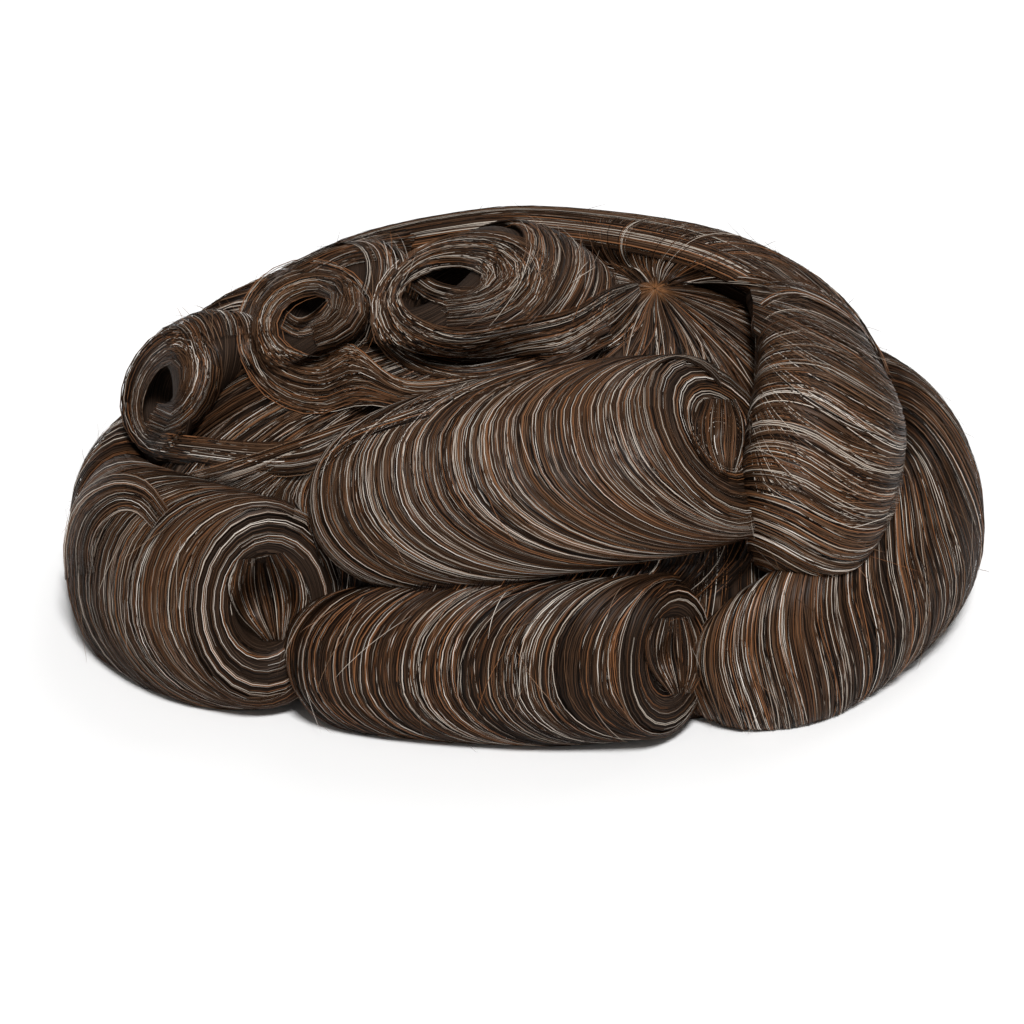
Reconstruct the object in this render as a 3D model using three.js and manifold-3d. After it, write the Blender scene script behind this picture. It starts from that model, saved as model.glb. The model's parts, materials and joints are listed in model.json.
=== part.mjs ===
// A toupee: hair combed over a domed scalp base, dressed in rolls and pin curls.
// Millimetres, +X towards the nape, -Y the wearer's left side, +Z up.
// The origin is at the middle of the surface that the rim rests on.

import * as THREE from 'three';
import Module from 'manifold-3d';
import { mergeVertices } from 'three/addons/utils/BufferGeometryUtils.js';

const wasm = await Module();
wasm.setup();

// Driving dimensions of the dome of hair
const HALF_LENGTH = 107;
const HALF_WIDTH = 89;
const HEIGHT = 80;
const OUTLINE_POWER = 2.5;
const PROFILE_POWER = 2.3;
const HAIR_THICKNESS = 5;

// The scalp base under the hair
const BASE_THICKNESS = 1;
const BASE_EDGE_FALL = 0.9;

// The crown, where the hair parts round a small spot of bare base
const CROWN = { turn: 26, fall: 0.195, topRadius: 6, bottomRadius: 2.2 };

// Clearance between pieces that lie on each other
const GAP = 0.3;

// How finely the soft forms are divided
const DOME_SIDES = 36;
const DOME_RINGS = 10;

const ROLL_SIDES = 16;
const STEPS_PER_ROW = 2;
const CROWN_SIDES = 20;

// Corners nearer than this are one corner
const MERGE_DISTANCE = 1e-4;

// How far the hair bed reaches below the floor plane while pieces are being cut
const CUT_MARGIN = 40;

const DEGREE = Math.PI / 180;

// Rolls of hair. A roll's width and thickness and the depth of its eye are shares of this size
const ROLL_SIZE = 50;

// Each row of a spine is one ring of hair, and its columns are
//   turn   degrees round the dome from +X
//   fall   0 at the top of the dome, 1 at the rim
//   lift   height of the ring's centre over the hair bed, a share of the thickness
//   wide   share of the roll's width
//   thick  share of the roll's thickness
//   lean   degrees that the ring leans back along the roll
// The first row is the closed end and the last row is the end with the eye.
const ROLLS = [
  {
    name: 'crown_roll', width: 0.88, thickness: 0.84, eye: null,
    spine: [
      { turn: -42, fall: 0.73, lift: 0.05, wide: 0.40, thick: 0.30, lean: 35 },
      { turn: -38, fall: 0.67, lift: 0.20, wide: 0.84, thick: 0.70, lean: 45 },
      { turn: -30, fall: 0.58, lift: 0.26, wide: 1.00, thick: 0.92, lean: 50 },
      { turn: -14, fall: 0.50, lift: 0.24, wide: 1.00, thick: 0.92, lean: 50 },
      { turn: 16, fall: 0.45, lift: 0.14, wide: 0.84, thick: 0.70, lean: 50 },
    ],
  },
  {
    name: 'side_roll_near', width: 1.08, thickness: 1.08, eye: { wide: 0.26, depth: 0.12 },
    spine: [
      { turn: -119, fall: 0.62, lift: -0.06, wide: 0.34, thick: 0.24, lean: 60 },
      { turn: -110, fall: 0.59, lift: 0.06, wide: 0.80, thick: 0.70, lean: 62 },
      { turn: -94, fall: 0.55, lift: 0.13, wide: 0.96, thick: 0.94, lean: 62 },
      { turn: -75, fall: 0.51, lift: 0.15, wide: 1.00, thick: 1.00, lean: 62 },
      { turn: -57, fall: 0.49, lift: 0.16, wide: 1.00, thick: 1.00, lean: 62 },
      { turn: -46, fall: 0.49, lift: 0.17, wide: 0.94, thick: 0.94, lean: 62 },
    ],
  },
  {
    name: 'curl_top', width: 1.2, thickness: 1.04, eye: { wide: 0.44, depth: 0.18 },
    spine: [
      { turn: -25, fall: 0.09, lift: -0.02, wide: 0.90, thick: 0.40, lean: 50 },
      { turn: -100, fall: 0.05, lift: 0.10, wide: 0.96, thick: 0.76, lean: 56 },
      { turn: -140, fall: 0.09, lift: 0.16, wide: 1.00, thick: 0.92, lean: 62 },
      { turn: -148, fall: 0.11, lift: 0.17, wide: 0.98, thick: 0.94, lean: 66 },
    ],
  },
  {
    name: 'curl_middle', width: 0.96, thickness: 0.88, eye: { wide: 0.46, depth: 0.16 },
    spine: [
      { turn: 180, fall: 0.19, lift: 0.0, wide: 0.60, thick: 0.40, lean: 55 },
      { turn: -174, fall: 0.24, lift: 0.12, wide: 0.86, thick: 0.76, lean: 60 },
      { turn: -168, fall: 0.31, lift: 0.18, wide: 1.00, thick: 0.94, lean: 66 },
    ],
  },
  {
    name: 'curl_front', width: 0.92, thickness: 0.84, eye: { wide: 0.46, depth: 0.16 },
    spine: [
      { turn: 180, fall: 0.48, lift: 0.0, wide: 0.60, thick: 0.40, lean: 52 },
      { turn: -174, fall: 0.56, lift: 0.12, wide: 0.86, thick: 0.76, lean: 56 },
      { turn: -169, fall: 0.63, lift: 0.18, wide: 1.00, thick: 0.94, lean: 58 },
    ],
  },
  {
    name: 'side_sweep_far', width: 1.32, thickness: 0.5, eye: null,
    spine: [
      { turn: 162, fall: 0.62, lift: -0.05, wide: 0.30, thick: 0.20, lean: 20 },
      { turn: 140, fall: 0.52, lift: 0.06, wide: 0.80, thick: 0.70, lean: 20 },
      { turn: 105, fall: 0.45, lift: 0.10, wide: 1.00, thick: 0.90, lean: 20 },
      { turn: 70, fall: 0.43, lift: 0.12, wide: 1.00, thick: 0.96, lean: 20 },
      { turn: 42, fall: 0.47, lift: 0.14, wide: 0.96, thick: 1.00, lean: 20 },
      { turn: 24, fall: 0.57, lift: 0.12, wide: 0.84, thick: 0.90, lean: 20 },
      { turn: 12, fall: 0.72, lift: 0.0, wide: 0.60, thick: 0.50, lean: 20 },
    ],
  },
  {
    name: 'rim_roll_front', width: 0.68, thickness: 0.6, eye: null,
    spine: [
      { turn: -150, fall: 0.80, lift: -0.05, wide: 0.40, thick: 0.30, lean: 30 },
      { turn: -158, fall: 0.84, lift: 0.16, wide: 0.80, thick: 0.76, lean: 30 },
      { turn: -170, fall: 0.88, lift: 0.22, wide: 1.00, thick: 0.92, lean: 30 },
      { turn: 174, fall: 0.88, lift: 0.20, wide: 1.00, thick: 0.86, lean: 30 },
      { turn: 156, fall: 0.86, lift: 0.0, wide: 0.60, thick: 0.40, lean: 30 },
    ],
  },
  {
    name: 'rim_roll_nape', width: 0.92, thickness: 0.68, eye: null,
    spine: [
      { turn: -57, fall: 0.94, lift: -0.05, wide: 0.40, thick: 0.30, lean: 40 },
      { turn: -49, fall: 0.91, lift: 0.12, wide: 0.84, thick: 0.64, lean: 42 },
      { turn: -36, fall: 0.87, lift: 0.16, wide: 0.98, thick: 0.84, lean: 42 },
      { turn: -10, fall: 0.85, lift: 0.22, wide: 1.00, thick: 0.96, lean: 42 },
      { turn: 16, fall: 0.84, lift: 0.22, wide: 1.00, thick: 0.96, lean: 42 },
      { turn: 42, fall: 0.87, lift: 0.16, wide: 0.92, thick: 0.80, lean: 42 },
      { turn: 57, fall: 0.90, lift: 0.0, wide: 0.60, thick: 0.40, lean: 42 },
    ],
  },
  {
    name: 'rim_roll_side_near', width: 0.84, thickness: 0.76, eye: { wide: 0.46, depth: 0.22 },
    spine: [
      { turn: -120, fall: 0.92, lift: -0.05, wide: 0.40, thick: 0.26, lean: 45 },
      { turn: -111, fall: 0.90, lift: 0.14, wide: 0.86, thick: 0.76, lean: 48 },
      { turn: -95, fall: 0.88, lift: 0.20, wide: 0.98, thick: 0.94, lean: 50 },
      { turn: -77, fall: 0.87, lift: 0.22, wide: 1.00, thick: 0.96, lean: 50 },
      { turn: -62, fall: 0.86, lift: 0.22, wide: 0.98, thick: 0.96, lean: 48 },
    ],
  },
  {
    name: 'rim_roll_side_far', mirrorOf: 'rim_roll_side_near',
  },
  {
    name: 'rim_roll_temple_near', width: 1.16, thickness: 0.92, eye: { wide: 0.42, depth: 0.24 },
    spine: [
      { turn: -172, fall: 0.96, lift: -0.05, wide: 0.40, thick: 0.30, lean: 40 },
      { turn: -163, fall: 0.91, lift: 0.08, wide: 0.80, thick: 0.70, lean: 44 },
      { turn: -148, fall: 0.87, lift: 0.15, wide: 0.98, thick: 0.90, lean: 48 },
      { turn: -134, fall: 0.84, lift: 0.19, wide: 1.00, thick: 0.96, lean: 50 },
      { turn: -124, fall: 0.82, lift: 0.20, wide: 0.92, thick: 0.90, lean: 52 },
    ],
  },
  {
    name: 'rim_roll_temple_far', mirrorOf: 'rim_roll_temple_near',
  },
];

const ROLLED_HAIR = { color: 0x3d2d23, roughness: 0.42, metalness: 0 };
const COMBED_HAIR = { color: 0x34261e, roughness: 0.48, metalness: 0 };
const SCALP_BASE = { color: 0xb5815c, roughness: 0.8, metalness: 0 };

// The dome, at a distance inside (or outside, where inset is negative) of the hair's surface
function domePoint(turn, fall, inset) {
  const angle = turn * DEGREE;
  const alongShare = Math.abs(Math.cos(angle)) / (HALF_LENGTH - inset);
  const acrossShare = Math.abs(Math.sin(angle)) / (HALF_WIDTH - inset);
  const reach = (alongShare ** OUTLINE_POWER + acrossShare ** OUTLINE_POWER) ** (-1 / OUTLINE_POWER);
  const out = Math.sin(fall * 90 * DEGREE) ** (2 / PROFILE_POWER);
  const up = Math.max(0, Math.cos(fall * 90 * DEGREE)) ** (2 / PROFILE_POWER);
  return new THREE.Vector3(
    out * reach * Math.cos(angle),
    out * reach * Math.sin(angle),
    (HEIGHT - inset) * up,
  );
}

// The direction straight out of the dome
function domeNormal(turn, fall) {
  const step = 0.01;
  const safeFall = Math.min(Math.max(fall, 2 * step), 1 - 2 * step);
  const round = domePoint(turn + 1, safeFall, 0).sub(domePoint(turn - 1, safeFall, 0));
  const down = domePoint(turn, safeFall + step, 0).sub(domePoint(turn, safeFall - step, 0));
  return down.cross(round).normalize();
}

// A closed skin through rings of points, with a single point at each end
function skin(startTip, rings, endTip) {
  const sides = rings[0].length;
  const positions = [startTip, ...rings.flat(), endTip].flatMap((point) => point.toArray());
  const corner = (ring, side) => 1 + ring * sides + (side % sides);
  const last = 1 + rings.length * sides;
  const faces = [];
  for (let side = 0; side < sides; side += 1) {
    faces.push(0, corner(0, side + 1), corner(0, side));
    for (let ring = 0; ring + 1 < rings.length; ring += 1) {
      faces.push(corner(ring, side), corner(ring, side + 1), corner(ring + 1, side + 1));
      faces.push(corner(ring, side), corner(ring + 1, side + 1), corner(ring + 1, side));
    }
    faces.push(last, corner(rings.length - 1, side), corner(rings.length - 1, side + 1));
  }
  const geometry = new THREE.BufferGeometry();
  geometry.setAttribute('position', new THREE.Float32BufferAttribute(positions, 3));
  geometry.setIndex(faces);
  return geometry;
}

// Rings of a dome from just off its top down to a fall
function domeRings(inset, lastFall) {
  const falls = Array.from({ length: DOME_RINGS }, (_, ring) => (ring + 1) / DOME_RINGS);
  const turns = Array.from({ length: DOME_SIDES }, (_, side) => -360 * side / DOME_SIDES);
  const kept = falls.filter((fall) => fall <= lastFall);
  return kept.map((fall) => turns.map((turn) => domePoint(turn, fall, inset)));
}

// A dome-shaped wall: down the outside and up the inside
function domeShell(inset, thickness, lastFall) {
  const outside = domeRings(inset, lastFall);
  const inside = domeRings(inset + thickness, lastFall).reverse();
  return skin(domePoint(0, 0, inset), [...outside, ...inside], domePoint(0, 0, inset + thickness));
}

// A solid dome that reaches below the rim, used to cut the underside of what lies on the hair
function domeCutter(inset) {
  const rings = domeRings(inset, 1);
  const below = rings.at(-1).map((point) => point.clone().setZ(-CUT_MARGIN));
  return skin(domePoint(0, 0, inset), [...rings, below], new THREE.Vector3(0, 0, -CUT_MARGIN));
}

// The turn and fall of the place on the dome under a point
function placeOnDome(point) {
  const turn = Math.atan2(point.y, point.x) / DEGREE;
  const reach = domePoint(turn, 1, 0).length();
  const out = (Math.hypot(point.x, point.y) / reach) ** (PROFILE_POWER / 2);
  const up = (Math.max(0, point.z) / HEIGHT) ** (PROFILE_POWER / 2);
  return { turn, fall: Math.atan2(out, up) / (90 * DEGREE) };
}

// A smooth value between rows, from the two rows on each side
function smoothValue(before, start, end, after, share) {
  const slopeIn = (end - before) / 2;
  const slopeOut = (after - start) / 2;
  const cubic = 2 * start - 2 * end + slopeIn + slopeOut;
  const square = 3 * end - 3 * start - 2 * slopeIn - slopeOut;
  return ((cubic * share + square) * share + slopeIn) * share + start;
}

// The rows of a spine with smooth rows between them, on a smooth line over the dome
function smoothRows(rows) {
  const line = new THREE.CatmullRomCurve3(rows.map((row) => domePoint(row.turn, row.fall, 0)));
  const count = (rows.length - 1) * STEPS_PER_ROW;
  return Array.from({ length: count + 1 }, (_, index) => {
    const row = Math.min(Math.floor(index / STEPS_PER_ROW), rows.length - 2);
    const share = index / STEPS_PER_ROW - row;
    const around = [Math.max(row - 1, 0), row, row + 1, Math.min(row + 2, rows.length - 1)];
    const value = (column) => smoothValue(...around.map((near) => rows[near][column]), share);
    return {
      ...placeOnDome(line.getPoint(index / count)),
      lift: value('lift'),
      wide: value('wide'),
      thick: value('thick'),
      lean: value('lean'),
    };
  });
}

// The frame of each ring of hair: its middle, its two axes and the way its eye looks
function ringFrames(roll, grow) {
  const rows = smoothRows(roll.spine);
  const width = roll.width * ROLL_SIZE;
  const thickness = roll.thickness * ROLL_SIZE;
  const feet = rows.map((row) => domePoint(row.turn, row.fall, 0));
  return rows.map((row, index) => {
    const normal = domeNormal(row.turn, row.fall);
    const ahead = feet[Math.min(index + 1, feet.length - 1)].clone();
    ahead.sub(feet[Math.max(index - 1, 0)]);
    ahead.addScaledVector(normal, -ahead.dot(normal)).normalize();
    const across = new THREE.Vector3().crossVectors(ahead, normal);
    const lean = row.lean * DEGREE;
    const top = normal.clone().multiplyScalar(Math.cos(lean)).addScaledVector(ahead, -Math.sin(lean));
    const out = ahead.clone().multiplyScalar(Math.cos(lean)).addScaledVector(normal, Math.sin(lean));
    return {
      middle: feet[index].clone().addScaledVector(normal, row.lift * thickness),
      top: top.multiplyScalar(row.thick * thickness / 2 + grow),
      across: across.multiplyScalar(row.wide * width / 2 + grow),
      out,
    };
  });
}

function ringPoints(frame, share, shift) {
  return Array.from({ length: ROLL_SIDES }, (_, side) => {
    const angle = 360 * side / ROLL_SIDES * DEGREE;
    return frame.middle.clone()
      .addScaledVector(frame.top, share * Math.cos(angle))
      .addScaledVector(frame.across, share * Math.sin(angle))
      .addScaledVector(frame.out, shift);
  });
}

// How a roll's last ring is closed. The columns are the share of that ring's size, and how
// far out each further ring lies, as a share of the roll's half thickness there
const ROUND_END = [
  { size: 0.86, out: 0.20 },
  { size: 0.50, out: 0.34 },
  { size: 0, out: 0.38 },
];

// A lip round an eye, then the wall of the hollow, from the eye's own width and depth
function eyeEnd(eye, halfThickness) {
  const depth = eye.depth * ROLL_SIZE / halfThickness;
  return [
    { size: 0.90, out: 0.10 },
    { size: (1 + eye.wide) / 2, out: 0.14 },
    { size: eye.wide * 1.12, out: 0.08 },
    { size: eye.wide * 0.9, out: -depth / 2 },
    { size: eye.wide * 0.6, out: -depth },
    { size: 0, out: -depth },
  ];
}

// A roll of hair with a rounded closed end. An eye is a hollow in its last ring
function rollGeometry(roll, grow, withEye) {
  const frames = ringFrames(roll, grow);
  const last = frames.at(-1);
  const halfThickness = last.top.length();
  const end = withEye && roll.eye ? eyeEnd(roll.eye, halfThickness) : ROUND_END;
  const rings = [
    ...frames.map((frame) => ringPoints(frame, 1, 0)),
    ...end.slice(0, -1).map((row) => ringPoints(last, row.size, row.out * halfThickness)),
  ];
  const first = frames[0];
  const startTip = first.middle.clone().addScaledVector(first.out, -first.top.length() / 2);
  const endTip = last.middle.clone().addScaledVector(last.out, end.at(-1).out * halfThickness);
  return skin(startTip, rings, endTip);
}

// Between three.js geometry and solids that can be joined and cut
function toSolid(geometry) {
  const bare = geometry.clone();
  bare.deleteAttribute('normal');
  bare.deleteAttribute('uv');
  const merged = mergeVertices(bare, MERGE_DISTANCE);
  return new wasm.Manifold(new wasm.Mesh({
    numProp: 3,
    vertProperties: merged.attributes.position.array,
    triVerts: new Uint32Array(merged.index.array),
  }));
}

function toGeometry(solid) {
  const mesh = solid.getMesh();
  const geometry = new THREE.BufferGeometry();
  geometry.setAttribute('position', new THREE.BufferAttribute(mesh.vertProperties, 3));
  geometry.setIndex(new THREE.BufferAttribute(mesh.triVerts, 1));
  geometry.computeVertexNormals();
  return geometry;
}

// The main body of a cut, without the slivers that a cut can leave beside it
function largest(solid) {
  return solid.decompose().reduce((big, piece) => (piece.volume() > big.volume() ? piece : big));
}

function mirrored(geometry) {
  const copy = geometry.clone();
  copy.scale(1, -1, 1);
  const index = copy.index.array;
  for (let face = 0; face < index.length; face += 3) {
    [index[face + 1], index[face + 2]] = [index[face + 2], index[face + 1]];
  }
  return copy;
}

const toupee = new THREE.Group();

function addPiece(name, solid, finish) {
  const mesh = new THREE.Mesh(toGeometry(solid), new THREE.MeshStandardMaterial(finish));
  mesh.name = name;
  toupee.add(mesh);
}

// The opening at the crown goes through the hair down to the base
function crownCutter() {
  const height = 2 * HAIR_THICKNESS;
  const slope = (CROWN.topRadius - CROWN.bottomRadius) / HAIR_THICKNESS;
  const endRadius = CROWN.bottomRadius + slope * height;
  const funnel = new THREE.CylinderGeometry(endRadius, CROWN.bottomRadius, height, CROWN_SIDES);
  funnel.rotateX(90 * DEGREE);
  const normal = domeNormal(CROWN.turn, CROWN.fall);
  const turn = new THREE.Quaternion().setFromUnitVectors(new THREE.Vector3(0, 0, 1), normal);
  funnel.applyQuaternion(turn);
  const middle = domePoint(CROWN.turn, CROWN.fall, HAIR_THICKNESS + GAP / 2);
  middle.addScaledVector(normal, height / 2);
  funnel.translate(middle.x, middle.y, middle.z);
  return toSolid(funnel);
}

const baseInset = HAIR_THICKNESS + GAP;
const baseCap = toSolid(domeShell(baseInset, BASE_THICKNESS, BASE_EDGE_FALL));
addPiece('base_cap', baseCap, SCALP_BASE);

const hairBed = toSolid(domeShell(0, HAIR_THICKNESS, 1));
addPiece('hair_bed', hairBed.subtract(crownCutter()), COMBED_HAIR);

// Rolls lie on the bed and on the rolls before them, and stop at the surface that the rim
// rests on
const floorWidth = 4 * (HALF_LENGTH + HALF_WIDTH);
const floorBox = new THREE.BoxGeometry(floorWidth, floorWidth, CUT_MARGIN);
floorBox.translate(0, 0, -CUT_MARGIN / 2);
let taken = toSolid(domeCutter(-GAP)).add(toSolid(floorBox));
for (const roll of ROLLS) {
  const model = ROLLS.find((other) => other.name === (roll.mirrorOf ?? roll.name));
  const side = roll.mirrorOf ? mirrored : (geometry) => geometry;
  const body = toSolid(side(rollGeometry(model, 0, true)));
  addPiece(roll.name, largest(body.subtract(taken)), ROLLED_HAIR);
  taken = taken.add(toSolid(side(rollGeometry(model, GAP, false))));
}

// The origin goes to the middle of the box's bottom
const box = new THREE.Box3().setFromObject(toupee);
const middle = box.getCenter(new THREE.Vector3());
toupee.position.set(-middle.x, -middle.y, -box.min.z);

export default toupee;
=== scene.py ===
# %% [markdown]
# # A toupee, dressed in rolls and pin curls
# This lesson dresses a plain model of a hairpiece in hair. Hair has two scales. From afar it is a
# few soft forms, the combed bed, the rolls and the curls. Up close it is thousands of strands.
# Blender has a hair system for the second scale, but ordinary meshes travel better into other
# programs. So each form here is a smooth body made with bmesh operators, and over it lie strands,
# thin ribbons made from arrays and joined into one mesh for each form.

import json
import math
from collections import namedtuple

import bmesh
import bpy
import numpy as np
from mathutils import Matrix, Vector
from mathutils.bvhtree import BVHTree

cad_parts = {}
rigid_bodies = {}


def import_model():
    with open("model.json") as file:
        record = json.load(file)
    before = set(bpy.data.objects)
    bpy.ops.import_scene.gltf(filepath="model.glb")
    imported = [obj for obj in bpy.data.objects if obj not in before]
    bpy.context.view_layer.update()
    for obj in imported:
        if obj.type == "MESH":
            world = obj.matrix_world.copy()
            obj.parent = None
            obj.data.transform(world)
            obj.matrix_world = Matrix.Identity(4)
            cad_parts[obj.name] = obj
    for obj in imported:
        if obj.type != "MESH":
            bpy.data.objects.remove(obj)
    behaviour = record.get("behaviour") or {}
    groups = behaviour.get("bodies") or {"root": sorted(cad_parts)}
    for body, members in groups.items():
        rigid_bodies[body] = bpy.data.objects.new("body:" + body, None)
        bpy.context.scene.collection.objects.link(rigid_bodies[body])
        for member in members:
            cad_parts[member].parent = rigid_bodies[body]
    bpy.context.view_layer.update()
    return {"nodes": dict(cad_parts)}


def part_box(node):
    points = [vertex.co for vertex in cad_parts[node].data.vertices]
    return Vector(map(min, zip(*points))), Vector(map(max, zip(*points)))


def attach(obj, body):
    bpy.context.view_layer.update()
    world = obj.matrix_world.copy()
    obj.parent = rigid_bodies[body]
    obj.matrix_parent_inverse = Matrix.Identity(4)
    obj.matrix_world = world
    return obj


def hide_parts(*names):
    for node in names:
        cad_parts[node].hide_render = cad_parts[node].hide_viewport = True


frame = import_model()
print("nodes:", ", ".join(sorted(frame["nodes"])))

# %% [markdown]
# ## The dome
# Everything lies on one dome, the bed of combed hair. It is a superellipsoid, which is a ball
# with squarer shoulders, because a head is rounder than a box and boxier than a ball. A place on
# it is given by two numbers. The turn is the angle round the dome, and the fall is how far down
# the side it is, from 0 at the top to 1 at the rim. That is easier to think in than x, y and z,
# because hair hangs and lies on the head in just these two directions.

# %% Places on the dome
MM = 0.001
low, high = (np.array(corner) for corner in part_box("hair_bed"))
HALF_LENGTH, HALF_WIDTH = (high[:2] - low[:2]) / 2
HEIGHT = high[2]
CENTRE = np.array([(low[0] + high[0]) / 2, (low[1] + high[1]) / 2, 0.0])
OUTLINE_POWER = 2.5
PROFILE_POWER = 2.3
HAIR_THICKNESS = 5 * MM


def reach_at(angle, inset):
    along = np.abs(np.cos(angle)) / (HALF_LENGTH - inset)
    across = np.abs(np.sin(angle)) / (HALF_WIDTH - inset)
    return (along ** OUTLINE_POWER + across ** OUTLINE_POWER) ** (-1 / OUTLINE_POWER)


def dome(turn, fall, inset=0.0):
    """Places on the dome, turn in degrees and fall from 0 to 1."""
    angle = np.radians(turn)
    out = np.sin(fall * np.pi / 2) ** (2 / PROFILE_POWER) * reach_at(angle, inset)
    up = np.maximum(0, np.cos(fall * np.pi / 2)) ** (2 / PROFILE_POWER) * (HEIGHT - inset)
    return CENTRE + np.stack([out * np.cos(angle), out * np.sin(angle), up], axis=-1)


def unit(vectors):
    return vectors / np.maximum(np.linalg.norm(vectors, axis=-1, keepdims=True), 1e-12)


def dome_share(places, inset=0.0):
    """1 on the dome, less inside it and more outside it."""
    flat = places - CENTRE
    angle = np.arctan2(flat[..., 1], flat[..., 0])
    out = np.hypot(flat[..., 0], flat[..., 1]) / reach_at(angle, inset)
    up = np.maximum(0, flat[..., 2]) / (HEIGHT - inset)
    return (out ** PROFILE_POWER + up ** PROFILE_POWER) ** (1 / PROFILE_POWER)


def turn_and_fall(places):
    flat = places - CENTRE
    angle = np.arctan2(flat[..., 1], flat[..., 0])
    out = (np.hypot(flat[..., 0], flat[..., 1]) / reach_at(angle, 0)) ** (PROFILE_POWER / 2)
    up = (np.maximum(0, flat[..., 2]) / HEIGHT) ** (PROFILE_POWER / 2)
    return np.degrees(angle), np.arctan2(out, up) * 2 / np.pi


def dome_normal(places):
    """The way out of the dome, from how its share grows."""
    step = 0.5 * MM
    slopes = [dome_share(places + step * axis) - dome_share(places - step * axis)
              for axis in np.eye(3)]
    return unit(np.stack(slopes, axis=-1))


def keep_outside(places, inset=0.0, floor=0.25 * MM):
    """Presses places that are inside the dome out to it, and those under the floor up to it."""
    share = np.maximum(dome_share(places, inset), 1e-6)
    pressed = CENTRE + (places - CENTRE) / share[..., None]
    kept = np.where((share < 1)[..., None], pressed, places)
    kept[..., 2] = np.maximum(kept[..., 2], floor)
    return kept


print("dome:", (2 * HALF_LENGTH / MM).round(1), "x", (2 * HALF_WIDTH / MM).round(1),
      "x", round(HEIGHT / MM, 1), "mm")

# %% [markdown]
# ## The camera
# The picture looks at the wearer's left side from a little above. A long lens from 0.9 m keeps
# the sizes of near and far parts alike. The camera's place is worked out from two angles, and it
# looks at a point a little below the middle, which lifts the hairpiece in the frame without
# using lens shift.

# %% Camera
CAMERA_TURN = math.radians(7)
CAMERA_RISE = math.radians(27)
CAMERA_DISTANCE = 0.9
PIXEL = 0.276 * MM
SENSOR_WIDTH = 36
PICTURE_SIDE = 1024
MIDDLE_HEIGHT = 38 * MM
AIM_LEFT = 13
AIM_DOWN = 75
back = Vector((math.sin(CAMERA_TURN) * math.cos(CAMERA_RISE),
               -math.cos(CAMERA_TURN) * math.cos(CAMERA_RISE),
               math.sin(CAMERA_RISE)))
right = Vector((math.cos(CAMERA_TURN), math.sin(CAMERA_TURN), 0))
up = back.cross(right).normalized()
middle = Vector(CENTRE) + Vector((0, 0, MIDDLE_HEIGHT))
aim = middle - AIM_LEFT * PIXEL * right - AIM_DOWN * PIXEL * up

camera_data = bpy.data.cameras.new("camera")
camera_data.sensor_width = SENSOR_WIDTH
camera_data.lens = SENSOR_WIDTH * CAMERA_DISTANCE / PIXEL / PICTURE_SIDE
camera_data.clip_start = 0.05
camera = bpy.data.objects.new("camera", camera_data)
bpy.context.collection.objects.link(camera)
camera.matrix_world = Matrix.Translation(aim + CAMERA_DISTANCE * back) @ Matrix((
    (right.x, up.x, back.x, 0), (right.y, up.y, back.y, 0), (right.z, up.z, back.z, 0),
    (0, 0, 0, 1)))
bpy.context.scene.camera = camera
print("lens:", round(camera_data.lens, 1), "mm")

# %% [markdown]
# ## Floor and light
# The hairpiece stands on a white floor in a white room. The key light stands high, a little to
# the right of the camera, so the tops of the rolls are bright and their undersides fall into
# shade. A weak light from behind draws the outline. The room itself glows only faintly on the
# hair, because even light from all sides would fill the dark gaps that give hair its depth. The
# camera sees the room as plain white all the same, through the Light Path node.

# %% Floor
def new_material(name, roughness, specular):
    material = bpy.data.materials.new(name)
    material.use_nodes = True
    shader = material.node_tree.nodes["Principled BSDF"]
    shader.inputs["Roughness"].default_value = roughness
    shader.inputs["Specular IOR Level"].default_value = specular
    return material, material.node_tree, shader


FLOOR_SIDE = 6.0
FLOOR_WHITE = (0.93, 0.93, 0.93)
mesh = bpy.data.meshes.new("floor")
shape = bmesh.new()
bmesh.ops.create_grid(shape, x_segments=1, y_segments=1, size=FLOOR_SIDE / 2)
shape.to_mesh(mesh)
shape.free()
floor = bpy.data.objects.new("floor", mesh)
bpy.context.collection.objects.link(floor)
floor_material, _, floor_shader = new_material("white_floor", roughness=0.9, specular=0.1)
floor_shader.inputs["Base Color"].default_value = (*FLOOR_WHITE, 1)
mesh.materials.append(floor_material)
print("floor:", FLOOR_SIDE, "m square")

# %% Lights
def sun(name, turn, rise, strength, width):
    """A lamp with the same light everywhere. turn is from the camera and rise from the floor."""
    data = bpy.data.lights.new(name, "SUN")
    data.energy = strength
    data.angle = math.radians(width)
    lamp = bpy.data.objects.new(name, data)
    bpy.context.collection.objects.link(lamp)
    around = CAMERA_TURN + math.radians(turn)
    way = Vector((math.sin(around) * math.cos(math.radians(rise)),
                  -math.cos(around) * math.cos(math.radians(rise)),
                  math.sin(math.radians(rise))))
    lamp.rotation_euler = way.to_track_quat("Z", "Y").to_euler()
    lamp.location = 2 * way


GLOW_STRENGTH = 0.20
sun("key_light", turn=12, rise=60, strength=3.15, width=16)
sun("rim_light", turn=150, rise=50, strength=0.5, width=30)
world = bpy.data.worlds.new("white_room")
world.use_nodes = True
room = world.node_tree.nodes
seen = room.new("ShaderNodeLightPath")
backdrop = room["Background"]
backdrop.inputs["Color"].default_value = (1, 1, 1, 1)
glow = room.new("ShaderNodeBackground")
glow.inputs["Color"].default_value = (1.0, 0.985, 0.97, 1)
glow.inputs["Strength"].default_value = GLOW_STRENGTH
choose = room.new("ShaderNodeMixShader")
world.node_tree.links.new(seen.outputs["Is Camera Ray"], choose.inputs["Fac"])
world.node_tree.links.new(glow.outputs[0], choose.inputs[1])
world.node_tree.links.new(backdrop.outputs[0], choose.inputs[2])
world.node_tree.links.new(choose.outputs[0], room["World Output"].inputs["Surface"])
bpy.context.scene.world = world
bpy.context.scene.view_settings.view_transform = "Standard"
print("lights: a key, a rim light and a white room")

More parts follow.
